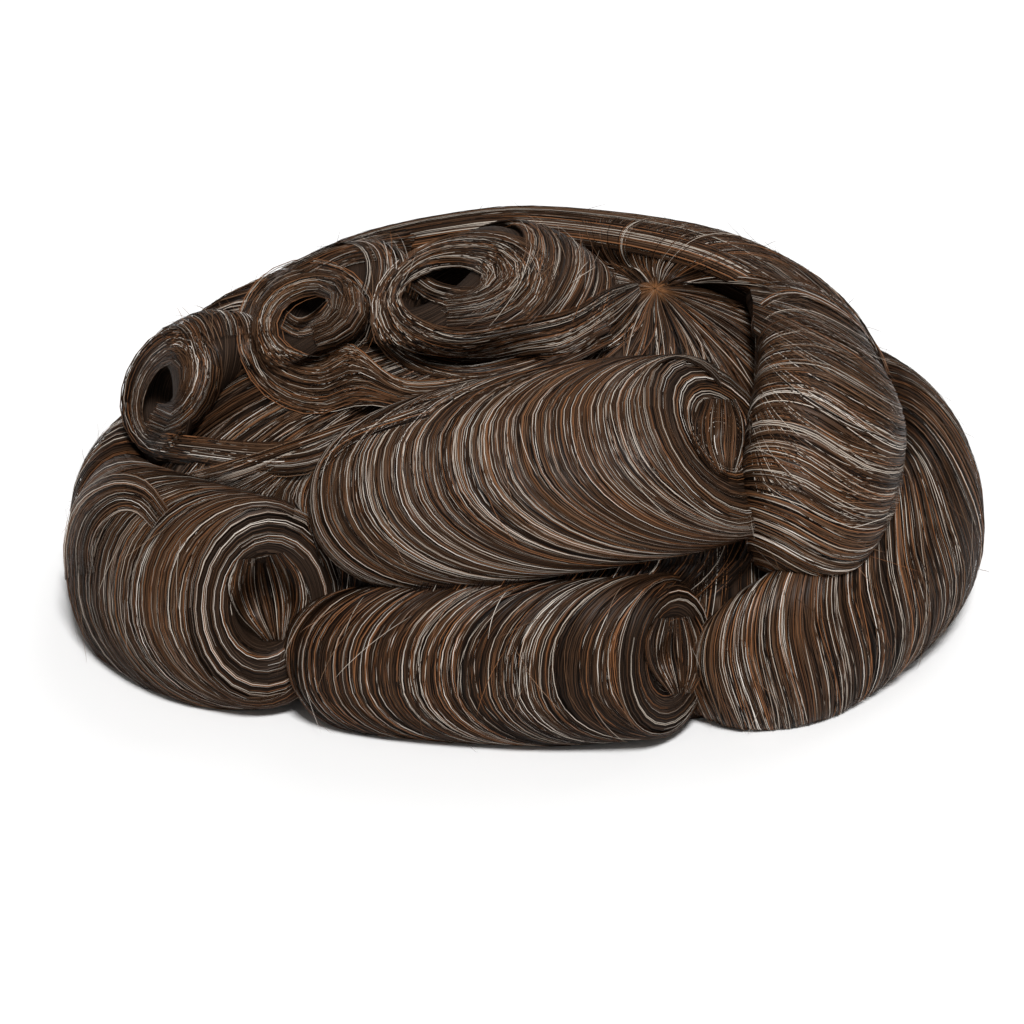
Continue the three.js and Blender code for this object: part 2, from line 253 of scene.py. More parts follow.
# %% [markdown]
# ## Hair colours
# The hair is a blend of dark brown, auburn and grey strands. A strand's colour is looked up in a
# ramp by where the strand lies in the UV map. Each strand has its own narrow column there, so
# moving its column to the left makes it darker and to the far right makes it grey. The other UV
# direction runs from root to tip, and darkens both ends a little, the root end most. The darker
# tips are painted shade, meant for the strand ends that wind into the hollows of the eyes. This
# way one material gives every strand its own shade, and the shade stays with the strand when the
# mesh is exported. At the crown the first part of each strand takes the tan of the skin that
# shows between the roots.

# %% Strand material
UV_NAME = "OFBake"
TONES = (
    (0.00, (0.0030, 0.0014, 0.0007)),
    (0.16, (0.0110, 0.0052, 0.0026)),
    (0.34, (0.0520, 0.0260, 0.0135)),
    (0.50, (0.1050, 0.0540, 0.0285)),
    (0.64, (0.1900, 0.1080, 0.0620)),
    (0.70, (0.2600, 0.1600, 0.1000)),
    (0.72, (0.1050, 0.0400, 0.0150)),
    (0.80, (0.2500, 0.1080, 0.0460)),
    (0.82, (0.2700, 0.2150, 0.1700)),
    (0.92, (0.5600, 0.4850, 0.4100)),
    (1.00, (0.9000, 0.8300, 0.7600)),
)


# Darkening from root to tip. Both ends are darker, and the darker tips are painted shade for the
# ends that wind into the eyes.
ROOT_DARK_AND_TIP_PAINTED_SHADE = ((0.0, (0.5,) * 3), (0.2, (1,) * 3), (0.85, (1,) * 3), (1.0, (0.7,) * 3))
ROOT_TAN = (0.33, 0.145, 0.055)
ROOT_FADE = ((0.0, 1.0), (0.05, 0.4), (0.12, 0.0))
HAIR_ROUGHNESS = 0.40
HAIR_SPECULAR = 0.10


def ramp_node(tree, stops):
    node = tree.nodes.new("ShaderNodeValToRGB")
    elements = node.color_ramp.elements
    while len(elements) < len(stops):
        elements.new(0.5)
    for element, (place, colour) in zip(elements, stops):
        element.position = place
        element.color = (*colour, 1)
    return node


def strand_material(name, root):
    """root is the share of the skin's tan in the first part of each strand."""
    material, tree, shader = new_material(name, HAIR_ROUGHNESS, HAIR_SPECULAR)
    uv = tree.nodes.new("ShaderNodeUVMap")
    uv.uv_map = UV_NAME
    parts = tree.nodes.new("ShaderNodeSeparateXYZ")
    tree.links.new(uv.outputs["UV"], parts.inputs[0])
    tones = ramp_node(tree, TONES)
    tree.links.new(parts.outputs["X"], tones.inputs["Fac"])
    # The ramp along the strand: its darker tips are painted shade.
    length = ramp_node(tree, ROOT_DARK_AND_TIP_PAINTED_SHADE)
    tree.links.new(parts.outputs["Y"], length.inputs["Fac"])
    mix = tree.nodes.new("ShaderNodeMix")
    mix.data_type = "RGBA"
    mix.blend_type = "MULTIPLY"
    mix.inputs["Factor"].default_value = 1
    tree.links.new(tones.outputs["Color"], mix.inputs["A"])
    tree.links.new(length.outputs["Color"], mix.inputs["B"])
    tan = tree.nodes.new("ShaderNodeMix")
    tan.data_type = "RGBA"
    tan.inputs["B"].default_value = (*ROOT_TAN, 1)
    near_root = ramp_node(tree, [(place, (share * root,) * 3) for place, share in ROOT_FADE])
    tree.links.new(parts.outputs["Y"], near_root.inputs["Fac"])
    tree.links.new(near_root.outputs["Color"], tan.inputs["Factor"])
    tree.links.new(mix.outputs["Result"], tan.inputs["A"])
    tree.links.new(tan.outputs["Result"], shader.inputs["Base Color"])
    return material


strand_hair = strand_material("strand_hair", root=0.0)
crown_hair = strand_material("crown_hair", root=0.7)
print("strand materials:", strand_hair.name, crown_hair.name)

# %% [markdown]
# ## The body under the strands
# Between the strands one sees deeper hair. The bodies take a darker streaked colour, which is
# painted shade: the gaps between the strands are made dark by colour as well as by the light. A
# noise texture is stretched until its blobs become long streaks, in the direction that the hair
# runs, and the same noise drives a bump so that the streaks catch the light as grooves.

# %% Body material
# Painted shade: these streak colours on the roll bodies and the bed are far darker than the
# strands, so the hair between the strands looks shadowed.
STREAK_COLOURS_IN_PAINTED_SHADE = ((0.36, (0.005, 0.0028, 0.0018)), (0.50, (0.018, 0.010, 0.006)),
                  (0.60, (0.050, 0.028, 0.017)), (0.72, (0.120, 0.080, 0.056)))
GROOVE_DEPTH = 0.3 * MM
BODY_ROUGHNESS = 0.6
ROUND_STREAKS = (3, 420)
LONG_STREAKS = (240, 4)


def streak_nodes(tree, shader, vector):
    noise = tree.nodes.new("ShaderNodeTexNoise")
    noise.inputs["Scale"].default_value = 1
    noise.inputs["Detail"].default_value = 3
    tree.links.new(vector, noise.inputs["Vector"])
    # The dark streak colours, painted shade for the hair between the strands.
    colours = ramp_node(tree, STREAK_COLOURS_IN_PAINTED_SHADE)
    tree.links.new(noise.outputs["Fac"], colours.inputs["Fac"])
    tree.links.new(colours.outputs["Color"], shader.inputs["Base Color"])
    bump = tree.nodes.new("ShaderNodeBump")
    bump.inputs["Strength"].default_value = 0.6
    bump.inputs["Distance"].default_value = GROOVE_DEPTH
    tree.links.new(noise.outputs["Fac"], bump.inputs["Height"])
    tree.links.new(bump.outputs["Normal"], shader.inputs["Normal"])


def body_material(name, stretch):
    """Streaks in the UV map, stretched by the factors for its two directions."""
    material, tree, shader = new_material(name, BODY_ROUGHNESS, HAIR_SPECULAR)
    uv = tree.nodes.new("ShaderNodeUVMap")
    uv.uv_map = UV_NAME
    mapping = tree.nodes.new("ShaderNodeMapping")
    mapping.inputs["Scale"].default_value = (*stretch, 1)
    tree.links.new(uv.outputs["UV"], mapping.inputs["Vector"])
    streak_nodes(tree, shader, mapping.outputs["Vector"])
    return material


coiled_hair = body_material("coiled_hair", ROUND_STREAKS)
swept_hair = body_material("swept_hair", LONG_STREAKS)
print("body materials:", coiled_hair.name, swept_hair.name)

# %% [markdown]
# ## The rolls
# A roll is a stack of rings of hair, like a spring laid on its side. Each row of a table is one
# ring. It gives where the ring stands on the dome, how high its middle is lifted, its two sizes
# as shares of the roll's own width and thickness, and how far it leans back. The lean matters
# most. A ring that stands straight shows as a line across the roll, and a leaning one shows as
# the curved wave that a hairdresser combs.

# %% The table of rolls
Row = namedtuple("Row", "turn fall lift wide thick lean")
Roll = namedtuple("Roll", "width thickness eye rows")
Eye = namedtuple("Eye", "wide depth")
ROLLS = {
    "crown_roll": Roll(44 * MM, 42 * MM, None, (
        Row(-42, 0.73, 0.05, 0.40, 0.30, 35),
        Row(-38, 0.67, 0.20, 0.84, 0.70, 45),
        Row(-30, 0.58, 0.26, 1.00, 0.92, 50),
        Row(-14, 0.50, 0.24, 1.00, 0.92, 50),
        Row(16, 0.45, 0.14, 0.84, 0.70, 50))),
    "side_roll_near": Roll(54 * MM, 54 * MM, Eye(0.16, 4 * MM), (
        Row(-119, 0.62, -0.06, 0.34, 0.24, 60),
        Row(-110, 0.59, 0.06, 0.80, 0.70, 62),
        Row(-94, 0.55, 0.13, 0.96, 0.94, 62),
        Row(-75, 0.51, 0.15, 1.00, 1.00, 62),
        Row(-57, 0.49, 0.16, 1.00, 1.00, 62),
        Row(-46, 0.49, 0.17, 0.94, 0.94, 62))),
    "curl_top": Roll(60 * MM, 52 * MM, Eye(0.44, 9 * MM), (
        Row(-25, 0.09, -0.02, 0.90, 0.40, 50),
        Row(-100, 0.05, 0.10, 0.96, 0.76, 56),
        Row(-140, 0.09, 0.16, 1.00, 0.92, 62),
        Row(-148, 0.11, 0.17, 0.98, 0.94, 66))),
    "curl_middle": Roll(48 * MM, 44 * MM, Eye(0.46, 8 * MM), (
        Row(180, 0.19, 0.0, 0.60, 0.40, 55),
        Row(-174, 0.24, 0.12, 0.86, 0.76, 60),
        Row(-168, 0.31, 0.18, 1.00, 0.94, 66))),
    "curl_front": Roll(46 * MM, 42 * MM, Eye(0.46, 8 * MM), (
        Row(180, 0.48, 0.0, 0.60, 0.40, 52),
        Row(-174, 0.56, 0.12, 0.86, 0.76, 56),
        Row(-169, 0.63, 0.18, 1.00, 0.94, 58))),
    "side_sweep_far": Roll(66 * MM, 25 * MM, None, (
        Row(162, 0.62, -0.05, 0.30, 0.20, 20),
        Row(140, 0.52, 0.06, 0.80, 0.70, 20),
        Row(105, 0.45, 0.10, 1.00, 0.90, 20),
        Row(70, 0.43, 0.12, 1.00, 0.96, 20),
        Row(42, 0.47, 0.14, 0.96, 1.00, 20),
        Row(24, 0.57, 0.12, 0.84, 0.90, 20),
        Row(12, 0.72, 0.0, 0.60, 0.50, 20))),
    "rim_roll_front": Roll(34 * MM, 30 * MM, None, (
        Row(-150, 0.80, -0.05, 0.40, 0.30, 30),
        Row(-158, 0.84, 0.16, 0.80, 0.76, 30),
        Row(-170, 0.88, 0.22, 1.00, 0.92, 30),
        Row(174, 0.88, 0.20, 1.00, 0.86, 30),
        Row(156, 0.86, 0.0, 0.60, 0.40, 30))),
    "rim_roll_nape": Roll(46 * MM, 34 * MM, None, (
        Row(-57, 0.94, -0.05, 0.40, 0.30, 40),
        Row(-49, 0.91, 0.12, 0.84, 0.64, 42),
        Row(-36, 0.87, 0.16, 0.98, 0.84, 42),
        Row(-10, 0.85, 0.22, 1.00, 0.96, 42),
        Row(16, 0.84, 0.22, 1.00, 0.96, 42),
        Row(42, 0.87, 0.16, 0.92, 0.80, 42),
        Row(57, 0.90, 0.0, 0.60, 0.40, 42))),
    "rim_roll_side_near": Roll(42 * MM, 38 * MM, Eye(0.30, 7 * MM), (
        Row(-120, 0.92, -0.05, 0.40, 0.26, 45),
        Row(-111, 0.90, 0.14, 0.86, 0.76, 48),
        Row(-95, 0.88, 0.20, 0.98, 0.94, 50),
        Row(-77, 0.87, 0.22, 1.00, 0.96, 50),
        Row(-62, 0.86, 0.22, 0.98, 0.96, 48))),
    "rim_roll_temple_near": Roll(58 * MM, 46 * MM, Eye(0.42, 12 * MM), (
        Row(-172, 0.96, -0.05, 0.40, 0.30, 40),
        Row(-163, 0.91, 0.08, 0.80, 0.70, 44),
        Row(-148, 0.87, 0.15, 0.98, 0.90, 48),
        Row(-134, 0.84, 0.19, 1.00, 0.96, 50),
        Row(-124, 0.82, 0.20, 0.92, 0.90, 52))),
}
MIRRORED = {"rim_roll_side_far": "rim_roll_side_near",
            "rim_roll_temple_far": "rim_roll_temple_near"}
print("rolls:", len(ROLLS) + len(MIRRORED))

# %% [markdown]
# Between the rows the rings follow a smooth curve. A Catmull-Rom curve passes through every
# point it is given, so the table's rows are real rings of the roll and not just hints. Past the
# last ring the stack closes. An eye turns over a lip and goes down into a hollow, and a plain
# end rounds off like a loaf.

# %% Rings of a roll
RINGS_PER_ROW = 6
END_STEPS = 4
ROUND_START = np.array([(0.02, -0.5), (0.45, -0.42), (0.8, -0.25)])
ROUND_END = ((1.0, 0.0), (0.86, 0.20), (0.50, 0.34), (0.02, 0.38))


def eye_end(wide, depth):
    """A lip round an eye and the wall of its hollow, as shares of the last ring's half size."""
    return ((1.0, 0.0), (0.90, 0.10), ((1 + wide) / 2, 0.14), (wide * 1.12, 0.08),
            (wide * 0.9, -depth / 2), (wide * 0.6, -depth), (0.02, -depth))


def curve(points, share):
    """Places on Catmull-Rom curves. points are curves by rows by columns, share is 0 to 1."""
    rows = points.shape[1]
    padded = np.concatenate([2 * points[:, :1] - points[:, 1:2], points,
                             2 * points[:, -1:] - points[:, -2:-1]], axis=1)
    place = share * (rows - 1)
    row = np.clip(place.astype(int), 0, rows - 2)
    part = (place - row)[..., None]
    before, start, end, after = (np.take_along_axis(padded, (row + step)[..., None], axis=1)
                                 for step in range(4))
    slope_in = (end - before) / 2
    slope_out = (after - start) / 2
    cubic = 2 * start - 2 * end + slope_in + slope_out
    square = 3 * end - 3 * start - 2 * slope_in - slope_out
    return ((cubic * part + square) * part + slope_in) * part + start


def smooth_between(values, count):
    """count + 1 rows on the smooth curve through the given rows."""
    values = np.asarray(values, dtype=float)
    return curve(values[None], np.linspace(0, 1, count + 1)[None])[0]


def ring_stack(roll):
    """Middles and the two half axes of all the rings, from the closed end into the eye."""
    columns = np.array([row for row in roll.rows], dtype=float)
    count = (len(roll.rows) - 1) * RINGS_PER_ROW
    feet = smooth_between(dome(columns[:, 0], columns[:, 1]), count)
    lift, wide, thick, lean = smooth_between(columns[:, 2:], count).T
    normals = dome_normal(feet)
    ahead = np.gradient(feet, axis=0)
    ahead = unit(ahead - normals * (ahead * normals).sum(-1, keepdims=True))
    lean = np.radians(lean)[:, None]
    middles = feet + normals * (lift * roll.thickness)[:, None]
    tops = (normals * np.cos(lean) - ahead * np.sin(lean)) * (thick * roll.thickness / 2)[:, None]
    sides = np.cross(ahead, normals) * (wide * roll.width / 2)[:, None]
    out = ahead[-1] * np.cos(lean[-1]) + normals[-1] * np.sin(lean[-1])
    half = np.linalg.norm(tops[-1])
    end = eye_end(roll.eye.wide, roll.eye.depth / half) if roll.eye else ROUND_END
    closing = smooth_between(end, (len(end) - 1) * END_STEPS)[1:]
    size, shift = closing[:, :1], closing[:, 1:] * half
    begun, behind = ROUND_START[:, :1], ROUND_START[:, 1:]
    first_out = ahead[0] * np.cos(lean[0]) + normals[0] * np.sin(lean[0])
    first_half = np.linalg.norm(tops[0])
    return {
        "middles": np.concatenate([middles[0] + first_out * behind * first_half,
                                   middles, middles[-1] + out * shift]),
        "tops": np.concatenate([begun * tops[0], tops, size * tops[-1]]),
        "sides": np.concatenate([begun * sides[0], sides, size * sides[-1]]),
        "first": len(ROUND_START),
        "last": len(ROUND_START) + count,
    }


def mirror_stack(stack):
    flip = np.array([1, -1, 1])
    turned = {key: stack[key] * flip for key in ("middles", "tops")}
    return {**stack, **turned, "sides": stack["sides"] * flip * -1}


STACKS = {name: ring_stack(roll) for name, roll in ROLLS.items()}
STACKS.update({name: mirror_stack(STACKS[near]) for name, near in MIRRORED.items()})
print("rings in all:", sum(len(stack["middles"]) for stack in STACKS.values()))

# %% [markdown]
# The body of a roll is built ring by ring. The operator create_circle makes a round ring, and
# the matrix that is given to it stretches, leans and carries the ring to its place in one go.
# The operator bridge_loops then sews each ring to the next. Last, the underside is pressed flat
# on the bed and on the floor, as a real roll is by its own weight.

# %% Roll bodies
BODY_SIDES = 40
SUNK = 2.0 * MM
UNDER_STRANDS = 0.7 * MM


def finish_piece(name, mesh, material):
    mesh.materials.append(material)
    mesh.polygons.foreach_set("use_smooth", [True] * len(mesh.polygons))
    piece = bpy.data.objects.new(name, mesh)
    bpy.context.collection.objects.link(piece)
    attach(piece, "root")
    return piece


def ring_matrix(middle, top, side):
    out = np.cross(top, side)
    smaller = [axis * max(0.05, 1 - UNDER_STRANDS / max(np.linalg.norm(axis), 1e-6))
               for axis in (top, side)]
    columns = np.column_stack([*smaller, unit(out) * MM, middle])
    return Matrix([*columns.tolist(), (0, 0, 0, 1)])


def roll_body(name, stack, material):
    shape = bmesh.new()
    loops = []
    for middle, top, side in zip(stack["middles"], stack["tops"], stack["sides"]):
        made = bmesh.ops.create_circle(shape, segments=BODY_SIDES, radius=1,
                                       matrix=ring_matrix(middle, top, side))
        loops.append(made["verts"])
    for near, far in zip(loops, loops[1:]):
        both = set(near) | set(far)
        edges = {edge for vert in both for edge in vert.link_edges
                 if edge.other_vert(vert) in both and not edge.link_faces}
        edges |= {edge for vert in near for edge in vert.link_edges
                  if edge.other_vert(vert) in near}
        bmesh.ops.bridge_loops(shape, edges=list(edges))
    for loop in (loops[0], loops[-1]):
        bmesh.ops.contextual_create(shape, geom=loop)
    bmesh.ops.recalc_face_normals(shape, faces=shape.faces)
    mesh = bpy.data.meshes.new(name)
    shape.to_mesh(mesh)
    shape.free()
    places = np.empty(len(mesh.vertices) * 3)
    mesh.vertices.foreach_get("co", places)
    pressed = keep_outside(places.reshape(-1, 3), SUNK)
    mesh.vertices.foreach_set("co", pressed.ravel())
    add_ring_uv(mesh, len(loops))
    return finish_piece(name, mesh, material)


def add_ring_uv(mesh, ring_count):
    """U goes round each ring and V from ring to ring, because the vertices were made in order."""
    layer = mesh.uv_layers.new(name=UV_NAME)
    for polygon in mesh.polygons:
        indices = [mesh.loops[loop].vertex_index for loop in polygon.loop_indices]
        turns = [index % BODY_SIDES for index in indices]
        wraps = max(turns) - min(turns) > BODY_SIDES / 2
        for loop, index, turn in zip(polygon.loop_indices, indices, turns):
            around = turn + BODY_SIDES if wraps and turn < BODY_SIDES / 2 else turn
            layer.data[loop].uv = (around / BODY_SIDES, (index // BODY_SIDES) / (ring_count - 1))


BODIES = {}
for name, stack in STACKS.items():
    material = swept_hair if name == "side_sweep_far" else coiled_hair
    BODIES[name] = roll_body(name + "_lock", stack, material)
    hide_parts(name)
print("roll bodies:", len(BODIES))

# %% [markdown]
# ## The bed and the base
# The bed of combed hair starts as a ball. The lower half is cut away, every vertex is pressed
# onto the dome, and solidify gives the wall its thickness. At the crown a cone is taken out, so
# that a little of the tan base shows where the hair parts, as the scalp would.

# %% The bed body
CROWN_TURN = 26
CROWN_FALL = 0.195
PARTING_BOTTOM = 1.2 * MM
PARTING_TOP = 11 * MM
BALL_SEGMENTS = 96
BALL_RINGS = 64


def dome_shell(name, inset, thickness, lowest):
    shape = bmesh.new()
    bmesh.ops.create_uvsphere(shape, u_segments=BALL_SEGMENTS, v_segments=BALL_RINGS,
                              radius=HALF_WIDTH)
    for vert in shape.verts:
        vert.co += Vector(CENTRE)
    bmesh.ops.bisect_plane(shape, geom=shape.verts[:] + shape.edges[:] + shape.faces[:],
                           plane_co=(0, 0, 0), plane_no=(0, 0, -1), clear_outer=True)
    for vert in shape.verts:
        place = np.array(vert.co)
        vert.co = CENTRE + (place - CENTRE) / dome_share(place[None], inset)[0]
    bmesh.ops.bisect_plane(shape, geom=shape.verts[:] + shape.edges[:] + shape.faces[:],
                           plane_co=(0, 0, lowest), plane_no=(0, 0, -1), clear_outer=True)
    bmesh.ops.recalc_face_normals(shape, faces=shape.faces)
    bmesh.ops.solidify(shape, geom=shape.faces[:], thickness=thickness)
    for vert in shape.verts:
        vert.co.z = max(vert.co.z, lowest)
    bmesh.ops.recalc_face_normals(shape, faces=shape.faces)
    mesh = bpy.data.meshes.new(name)
    shape.to_mesh(mesh)
    shape.free()
    return mesh


crown = dome(np.array([CROWN_TURN]), np.array([CROWN_FALL]))[0]
crown_normal = dome_normal(crown[None])[0]
print("crown at", (crown / MM).round(1), "mm")

# %% Bed and base materials
CROWN_STREAKS = (40, 25)
NET_FINENESS = 260
NET_COLOURS = ((0.2, (0.21, 0.10, 0.045)), (0.9, (0.46, 0.25, 0.13)))
NET_DEPTH = 0.15 * MM


def bed_material():
    """Streaks that run out from the crown, by the angle round it."""
    material, tree, shader = new_material("combed_hair", BODY_ROUGHNESS, HAIR_SPECULAR)
    nodes, links = tree.nodes, tree.links
    place = nodes.new("ShaderNodeTexCoord")
    mapping = nodes.new("ShaderNodeMapping")
    mapping.inputs["Location"].default_value = -crown
    parts = nodes.new("ShaderNodeSeparateXYZ")
    angle = nodes.new("ShaderNodeMath")
    angle.operation = "ARCTAN2"
    distance = nodes.new("ShaderNodeVectorMath")
    distance.operation = "LENGTH"
    both = nodes.new("ShaderNodeCombineXYZ")
    stretch = nodes.new("ShaderNodeMapping")
    stretch.inputs["Scale"].default_value = (*CROWN_STREAKS, 1)
    links.new(place.outputs["Object"], mapping.inputs["Vector"])
    links.new(mapping.outputs["Vector"], parts.inputs[0])
    links.new(parts.outputs["Y"], angle.inputs[0])
    links.new(parts.outputs["X"], angle.inputs[1])
    links.new(mapping.outputs["Vector"], distance.inputs[0])
    links.new(angle.outputs[0], both.inputs["X"])
    links.new(distance.outputs["Value"], both.inputs["Y"])
    links.new(both.outputs[0], stretch.inputs["Vector"])
    streak_nodes(tree, shader, stretch.outputs["Vector"])
    return material


def base_material():
    """A tan net: two fine waves across each other make its holes."""
    material, tree, shader = new_material("scalp_base", roughness=0.75, specular=0.2)
    nodes, links = tree.nodes, tree.links
    place = nodes.new("ShaderNodeTexCoord")
    heights = []
    for direction in ("X", "Y"):
        wave = nodes.new("ShaderNodeTexWave")
        wave.bands_direction = direction
        wave.inputs["Scale"].default_value = NET_FINENESS
        wave.inputs["Distortion"].default_value = 0.6
        links.new(place.outputs["Object"], wave.inputs["Vector"])
        heights.append(wave.outputs["Fac"])
    weave = nodes.new("ShaderNodeMath")
    weave.operation = "MAXIMUM"
    links.new(heights[0], weave.inputs[0])
    links.new(heights[1], weave.inputs[1])
    colours = ramp_node(tree, NET_COLOURS)
    links.new(weave.outputs[0], colours.inputs["Fac"])
    links.new(colours.outputs["Color"], shader.inputs["Base Color"])
    bump = nodes.new("ShaderNodeBump")
    bump.inputs["Distance"].default_value = NET_DEPTH
    links.new(weave.outputs[0], bump.inputs["Height"])
    links.new(bump.outputs["Normal"], shader.inputs["Normal"])
    return material


print("base material: tan net")

# %% Place the bed and the base
bed_mesh = dome_shell("bed_body", 0.0, HAIR_THICKNESS, 0.0)
bed = finish_piece("bed_body", bed_mesh, bed_material())
cone_mesh = bpy.data.meshes.new("crown_cone")
cone_shape = bmesh.new()
cone_turn = Vector(crown_normal).to_track_quat("Z", "Y").to_matrix().to_4x4()
bmesh.ops.create_cone(cone_shape, cap_ends=True, segments=32,
                      radius1=PARTING_BOTTOM, radius2=PARTING_TOP, depth=2.4 * HAIR_THICKNESS,
                      matrix=Matrix.Translation(Vector(crown)) @ cone_turn)
cone_shape.to_mesh(cone_mesh)
cone_shape.free()
cone = bpy.data.objects.new("crown_cone", cone_mesh)
bpy.context.collection.objects.link(cone)
cut = bed.modifiers.new("crown", "BOOLEAN")
cut.operation = "DIFFERENCE"
cut.object = cone
with bpy.context.temp_override(object=bed, active_object=bed, selected_objects=[bed]):
    bpy.ops.object.modifier_apply(modifier=cut.name)
bpy.data.objects.remove(cone)
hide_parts("hair_bed")

base_low, base_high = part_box("base_cap")
base_mesh = dome_shell("base_skin", HEIGHT - base_high[2], 1 * MM, base_low[2])
base = finish_piece("base_skin", base_mesh, base_material())
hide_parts("base_cap")
print("bed and base:", len(bed.data.polygons), len(base.data.polygons), "faces")

# %% [markdown]
# ## Strands
# A strand is a ribbon with two vertices at each step. Real hairs are round, but a strand here is
# about as wide as a pixel, so only the way it faces matters. Each ribbon is turned a little about
# its own length by a random angle, and the light then picks out some and leaves others dark, as
# it does with real hair. Strands lie in small clumps, which share a path, and each hair departs
# from its clump a little. Without clumps, hair looks like a brush. With clumps that are too big
# or too much alike it looks like yarn, so a clump has about five hairs, each with its own shade.

# %% Ribbons from arrays
COLUMNS = 256
COLUMN_PART = 0.2
FACING_SPREAD = 0.32
TAPER_PLACES = (0, 0.1, 0.8, 1)
TAPER_WIDTHS = (0.6, 1.0, 0.9, 0.3)
STRAND_FLOOR = 0.1 * MM
SEED = 11
rng = np.random.default_rng(SEED)
TRIANGLES = {}


def ribbons(name, places, normals, width, tone):
    """One mesh of ribbons. places and normals are strands by steps by three."""
    count, steps = places.shape[:2]
    along = unit(np.gradient(places, axis=1))
    side = unit(np.cross(along, normals))
    rise = np.cross(side, along)
    tilt = rng.normal(0, FACING_SPREAD, count)[:, None, None]
    side = side * np.cos(tilt) + rise * np.sin(tilt)
    length = np.linspace(0, 1, steps)
    shape = np.interp(length, TAPER_PLACES, TAPER_WIDTHS)
    half = side * (width[:, None] * shape / 2)[..., None]
    corners = np.stack([places - half, places + half], axis=2).reshape(-1, 3)
    corners[:, 2] = np.maximum(corners[:, 2], STRAND_FLOOR)
    first = (np.arange(count)[:, None] * steps + np.arange(steps - 1)) * 2
    quads = np.stack([first, first + 1, first + 3, first + 2], axis=-1).reshape(-1, 4)
    column = (np.floor(np.clip(tone, 0, 0.9999) * COLUMNS) + 0.5) / COLUMNS
    across = np.array([-1, 1, 1, -1]) * COLUMN_PART / COLUMNS
    u = np.repeat(column, steps - 1)[:, None] + across
    v = np.stack([length[:-1], length[:-1], length[1:], length[1:]], axis=-1)
    uv = np.stack([u, np.tile(v, (count, 1))], axis=-1)
    mesh = bpy.data.meshes.new(name)
    mesh.vertices.add(len(corners))
    mesh.vertices.foreach_set("co", corners.ravel())
    mesh.loops.add(quads.size)
    mesh.loops.foreach_set("vertex_index", quads.ravel().astype(np.int32))
    mesh.polygons.add(len(quads))
    mesh.polygons.foreach_set("loop_start", np.arange(0, quads.size, 4, dtype=np.int32))
    mesh.uv_layers.new(name=UV_NAME).data.foreach_set("uv", uv.ravel())
    mesh.update(calc_edges=True)
    TRIANGLES[name] = 2 * len(quads)
    return mesh


KNOTS = 14
BROWNS = (0.04, 0.66)
DARKS = (0.0, 0.14)
AUBURNS = (0.73, 0.80)
GREYS = (0.83, 1.0)
DARK_SHARE = 0.20
AUBURN_SHARE = 0.10
BROWN_SPREAD = 0.11
CLUMP_SPREAD = 0.03
SLOW_SPREAD = 0.02
GREY_PATCHES = 0.4
GREY_BETA = (1.5, 2.0)
GREY_THINNER = 0.8
WIDTHS = (0.7, 1.25)
CLUMP_OFFSET = 0.6


def slow_noise(count):
    """A number for each of count neighbours that changes slowly from one to the next."""
    places = np.linspace(0, KNOTS - 1, count)
    return np.interp(places, np.arange(KNOTS), rng.normal(0, 1, KNOTS))


def clump_tones(clumps, member, grey, base):
    """A tone for each strand. Dark, auburn and grey strands are mixed into the brown ones."""
    shared = base + SLOW_SPREAD * slow_noise(clumps) + rng.normal(0, CLUMP_SPREAD, clumps)
    tone = np.clip(shared[member] + rng.normal(0, BROWN_SPREAD, len(member)), *BROWNS)
    kind = rng.random(len(member))
    dark = kind < DARK_SHARE
    tone[dark] = rng.uniform(*DARKS, dark.sum())
    auburn = (kind > DARK_SHARE) & (kind < DARK_SHARE + AUBURN_SHARE)
    tone[auburn] = rng.uniform(*AUBURNS, auburn.sum())
    white = kind > 1 - (grey * np.exp(GREY_PATCHES * slow_noise(clumps)))[member]
    tone[white] = rng.beta(*GREY_BETA, white.sum()) * (GREYS[1] - GREYS[0]) + GREYS[0]
    return tone, white


def clump_up(count, size):
    """Deals count strands out to clumps, with each strand's offset from its clump's middle."""
    clumps = count // size
    member = rng.integers(0, clumps, count)
    return clumps, member, rng.normal(0, CLUMP_OFFSET, count)


def lay(name, places, normals, clumps, member, grey, base, width, material=strand_hair):
    tone, white = clump_tones(clumps, member, grey, base)
    widths = width * rng.uniform(*WIDTHS, len(member))
    widths[white] *= GREY_THINNER
    strands = finish_piece(name, ribbons(name, places, normals, widths, tone), material)


print("strand columns:", COLUMNS)

# %% [markdown]
# ## Strands on a roll
# A strand on a roll is a path of two numbers, which ring it is on and the angle round the ring.
# It starts where the ring leaves the bed, climbs over the top and dives down on the other side.
# Where the path goes below the bed, it is pressed out again, so its ends lie flat on the combed
# hair as if it came from there. All strands of a roll take their steps at the same angles. Each
# step is a straight chord, and chords that start at different angles would cut through each
# other and look frayed.

# %% Paths on a roll
HALF_WAVE = 3.1
WHOLE_WAVE = 6.2
CLUMP_WANDER = 0.45
OWN_WANDER = 0.55
LYING_HEIGHT = 0.3 * MM
SUNK_SHARE = 0.5
HEAP_SHARE = 0.4


def on_roll(stack, ring, angle, lift):
    """Places and normals on the skin of a roll. ring counts rings and may lie between two."""
    last = len(stack["middles"]) - 1
    ring = np.clip(ring, 0, last - 1e-4)
    low_ring = ring.astype(int)
    share = (ring - low_ring)[..., None]
    radians = np.radians(angle)[..., None]

    def skin(row):
        return (stack["middles"][row] + stack["tops"][row] * np.cos(radians)
                + stack["sides"][row] * np.sin(radians))

    def round_way(row):
        return stack["sides"][row] * np.cos(radians) - stack["tops"][row] * np.sin(radians)

    near, far = skin(low_ring), skin(low_ring + 1)
    around = round_way(low_ring) * (1 - share) + round_way(low_ring + 1) * share
    normals = unit(np.cross(around, far - near))
    return near * (1 - share) + far * share + normals * lift[..., None], normals


